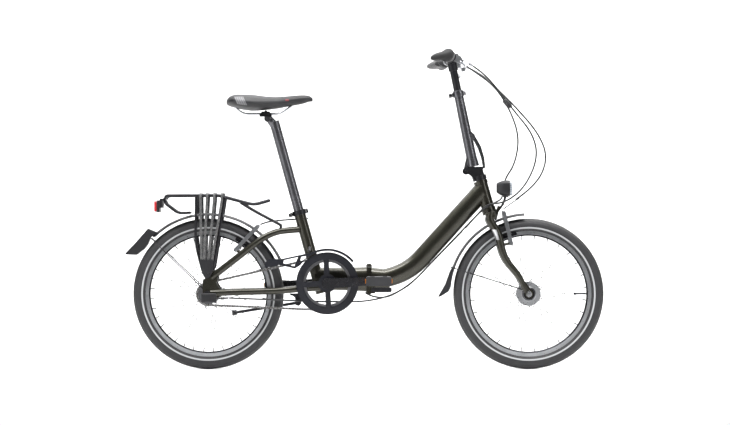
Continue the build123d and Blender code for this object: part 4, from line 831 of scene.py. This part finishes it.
def band(name, line, width, thick, material):
    """A flat woven strip along a line, its width lying fore and aft."""
    outline = [(-0.5, -0.3), (-0.44, -0.5), (-0.15, -0.5), (0.15, -0.5), (0.44, -0.5), (0.5, -0.3),
               (0.5, 0.3), (0.44, 0.5), (0.15, 0.5), (-0.15, 0.5), (-0.44, 0.5), (-0.5, 0.3)]
    verts = []
    for i, point in enumerate(line):
        ahead = (line[min(i + 1, len(line) - 1)] - line[max(i - 1, 0)]).normalized()
        wide = Vector((1, 0, 0))
        wide = (wide - ahead * wide.dot(ahead)).normalized()
        deep = ahead.cross(wide)
        for u, v in outline:
            verts.append(point + wide * (u * width) + deep * (v * thick))
    return mesh_object(name, verts, ring_faces(len(line), len(outline)), material)


def build_straps():
    cloth = woven().done()
    for number, (top, low) in enumerate(STRAP_TOPS):
        for side in (1, -1):
            route = [(top, side * 4, 583), (top, side * 30, 583.2), (top, side * 56, 583.4),
                     (top, side * 63.4, 578), (top, side * 64.5, 566),
                     (top + (low - top) * 0.4, side * 67, 480),
                     (top + (low - top) * 0.8, side * 70, 400), (low, side * 70.5, 352)]
            strap = band(f"rack_strap_{number + 1}_{side_name(side)}", smooth_route(route),
                         STRAP_W, STRAP_T, cloth)
            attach(strap, "rear_frame")
    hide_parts("rack_straps")
    plate = plastic("strap_anchor_plastic", (0.011, 0.011, 0.013), 0.42, 900).done()
    for side in (1, -1):
        build_anchor(side, plate)


def build_anchor(side, material):
    """Rounded moulded plate that gathers the straps above the dropout, drilled where the eyelet is."""
    outline = [(-31, 364), (21, 364), (16, 322), (5, 302), (-9, 302), (-19, 322)]
    mesh = bmesh.new()
    back = [mesh.verts.new(spot(x, side * ANCHOR_IN, z)) for x, z in outline]
    front = [mesh.verts.new(spot(x, side * ANCHOR_OUT, z)) for x, z in outline]
    mesh.faces.new(back)
    mesh.faces.new(front[::-1])
    for k in range(len(outline)):
        m = (k + 1) % len(outline)
        mesh.faces.new((back[m], back[k], front[k], front[m]))
    bmesh.ops.recalc_face_normals(mesh, faces=mesh.faces)
    uprights = [e for e in mesh.edges if abs(e.verts[0].co.y - e.verts[1].co.y) > 0.001]
    bmesh.ops.bevel(mesh, geom=uprights, offset=0.006, segments=5, affect="EDGES", profile=0.5)
    rims = [e for e in mesh.edges if abs(e.verts[0].co.y - e.verts[1].co.y) < 1e-6]
    bmesh.ops.bevel(mesh, geom=rims, offset=0.0012, segments=3, affect="EDGES", profile=0.5)
    data = bpy.data.meshes.new("strap_anchor")
    mesh.to_mesh(data)
    mesh.free()
    data.materials.append(material)
    anchor = bpy.data.objects.new(f"strap_anchor_{side_name(side)}", data)
    bpy.context.scene.collection.objects.link(anchor)
    bpy.ops.mesh.primitive_cylinder_add(vertices=48, radius=EYELET_HOLE_R, depth=0.05,
                                        location=spot(EYELET[0], side * 70, EYELET[1]),
                                        rotation=(math.pi / 2, 0, 0))
    drill = bpy.context.object
    cut = anchor.modifiers.new("eyelet", "BOOLEAN")
    cut.object = drill
    cut.solver = "EXACT"
    graph = bpy.context.evaluated_depsgraph_get()
    drilled = bpy.data.meshes.new_from_object(anchor.evaluated_get(graph))
    anchor.modifiers.clear()
    anchor.data = drilled
    bpy.data.objects.remove(drill)
    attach(anchor, "rear_frame")


# ---------------------------------------------------------------- stage

STAGE_HALF = 9
WALL_START = 2.2
WALL_BEND_R = 1.5
WALL_TOP = 7
WORLD_STRENGTH = 0.05


def build_stage():
    shade = Surface("floor_paint", (0.86, 0.86, 0.86), rough=0.6)
    shade.mottle(3, 0.08, (0.80, 0.80, 0.80))
    verts = []
    faces = []
    run = [(-STAGE_HALF, 0), (WALL_START, 0)]
    for degrees in range(6, 91, 6):
        a = math.radians(degrees)
        run.append((WALL_START + WALL_BEND_R * math.sin(a), WALL_BEND_R - WALL_BEND_R * math.cos(a)))
    run.append((WALL_START + WALL_BEND_R, WALL_TOP))
    for y, z in run:
        verts += [(-STAGE_HALF, y, z), (STAGE_HALF, y, z)]
    for i in range(len(run) - 1):
        faces.append((2 * i, 2 * i + 1, 2 * i + 3, 2 * i + 2))
    backdrop = mesh_object("backdrop", verts, faces, shade.done())


def lamp(name, place, aim, size, power, tall=None):
    data = bpy.data.lights.new(name, "AREA")
    data.energy = power
    data.size = size
    if tall:
        data.shape = "RECTANGLE"
        data.size_y = tall
    obj = bpy.data.objects.new(name, data)
    bpy.context.scene.collection.objects.link(obj)
    obj.location = place
    obj.rotation_euler = (Vector(aim) - Vector(place)).to_track_quat("-Z", "Y").to_euler()


def build_lights():
    world = bpy.data.worlds.new("studio")
    world.use_nodes = True
    world.node_tree.nodes["Background"].inputs[0].default_value = (1, 1, 1, 1)
    world.node_tree.nodes["Background"].inputs[1].default_value = WORLD_STRENGTH
    bpy.context.scene.world = world
    lamp("top_light", (0, -0.9, 2.8), (0, 0, 0.45), 3.4, 130, 0.7)
    lamp("left_strip", (-4.4, -3.6, 1.6), (0, 0, 0.55), 0.8, 80, 3.0)
    lamp("right_strip", (4.4, -3.4, 1.5), (0, 0, 0.55), 0.6, 50, 3.0)
    lamp("floor_light", (0, 0.9, 3.2), (0, 1.0, 0), 5.0, 130, 1.6)
    lamp("wall_light", (0, 1.9, 3.2), (0, 3.7, 1.2), 6.0, 150, 1.0)
    bpy.context.scene.view_settings.view_transform = "Standard"
    bpy.context.scene.view_settings.look = "None"


def build_camera():
    data = bpy.data.cameras.new("view")
    data.lens = VIEW_LENS
    data.sensor_width = 36
    data.clip_end = 60
    camera = bpy.data.objects.new("view", data)
    bpy.context.scene.collection.objects.link(camera)
    camera.location = (VIEW_AIM[0], -VIEW_DISTANCE, VIEW_AIM[2])
    camera.rotation_euler = (math.radians(90), 0, 0)
    bpy.context.scene.camera = camera


build_camera()
build_stage()
build_lights()
finish_all()
build_tyres()
build_saddle()
build_grips()
build_cables()
build_cable_clip()
build_noodle()
build_straps()
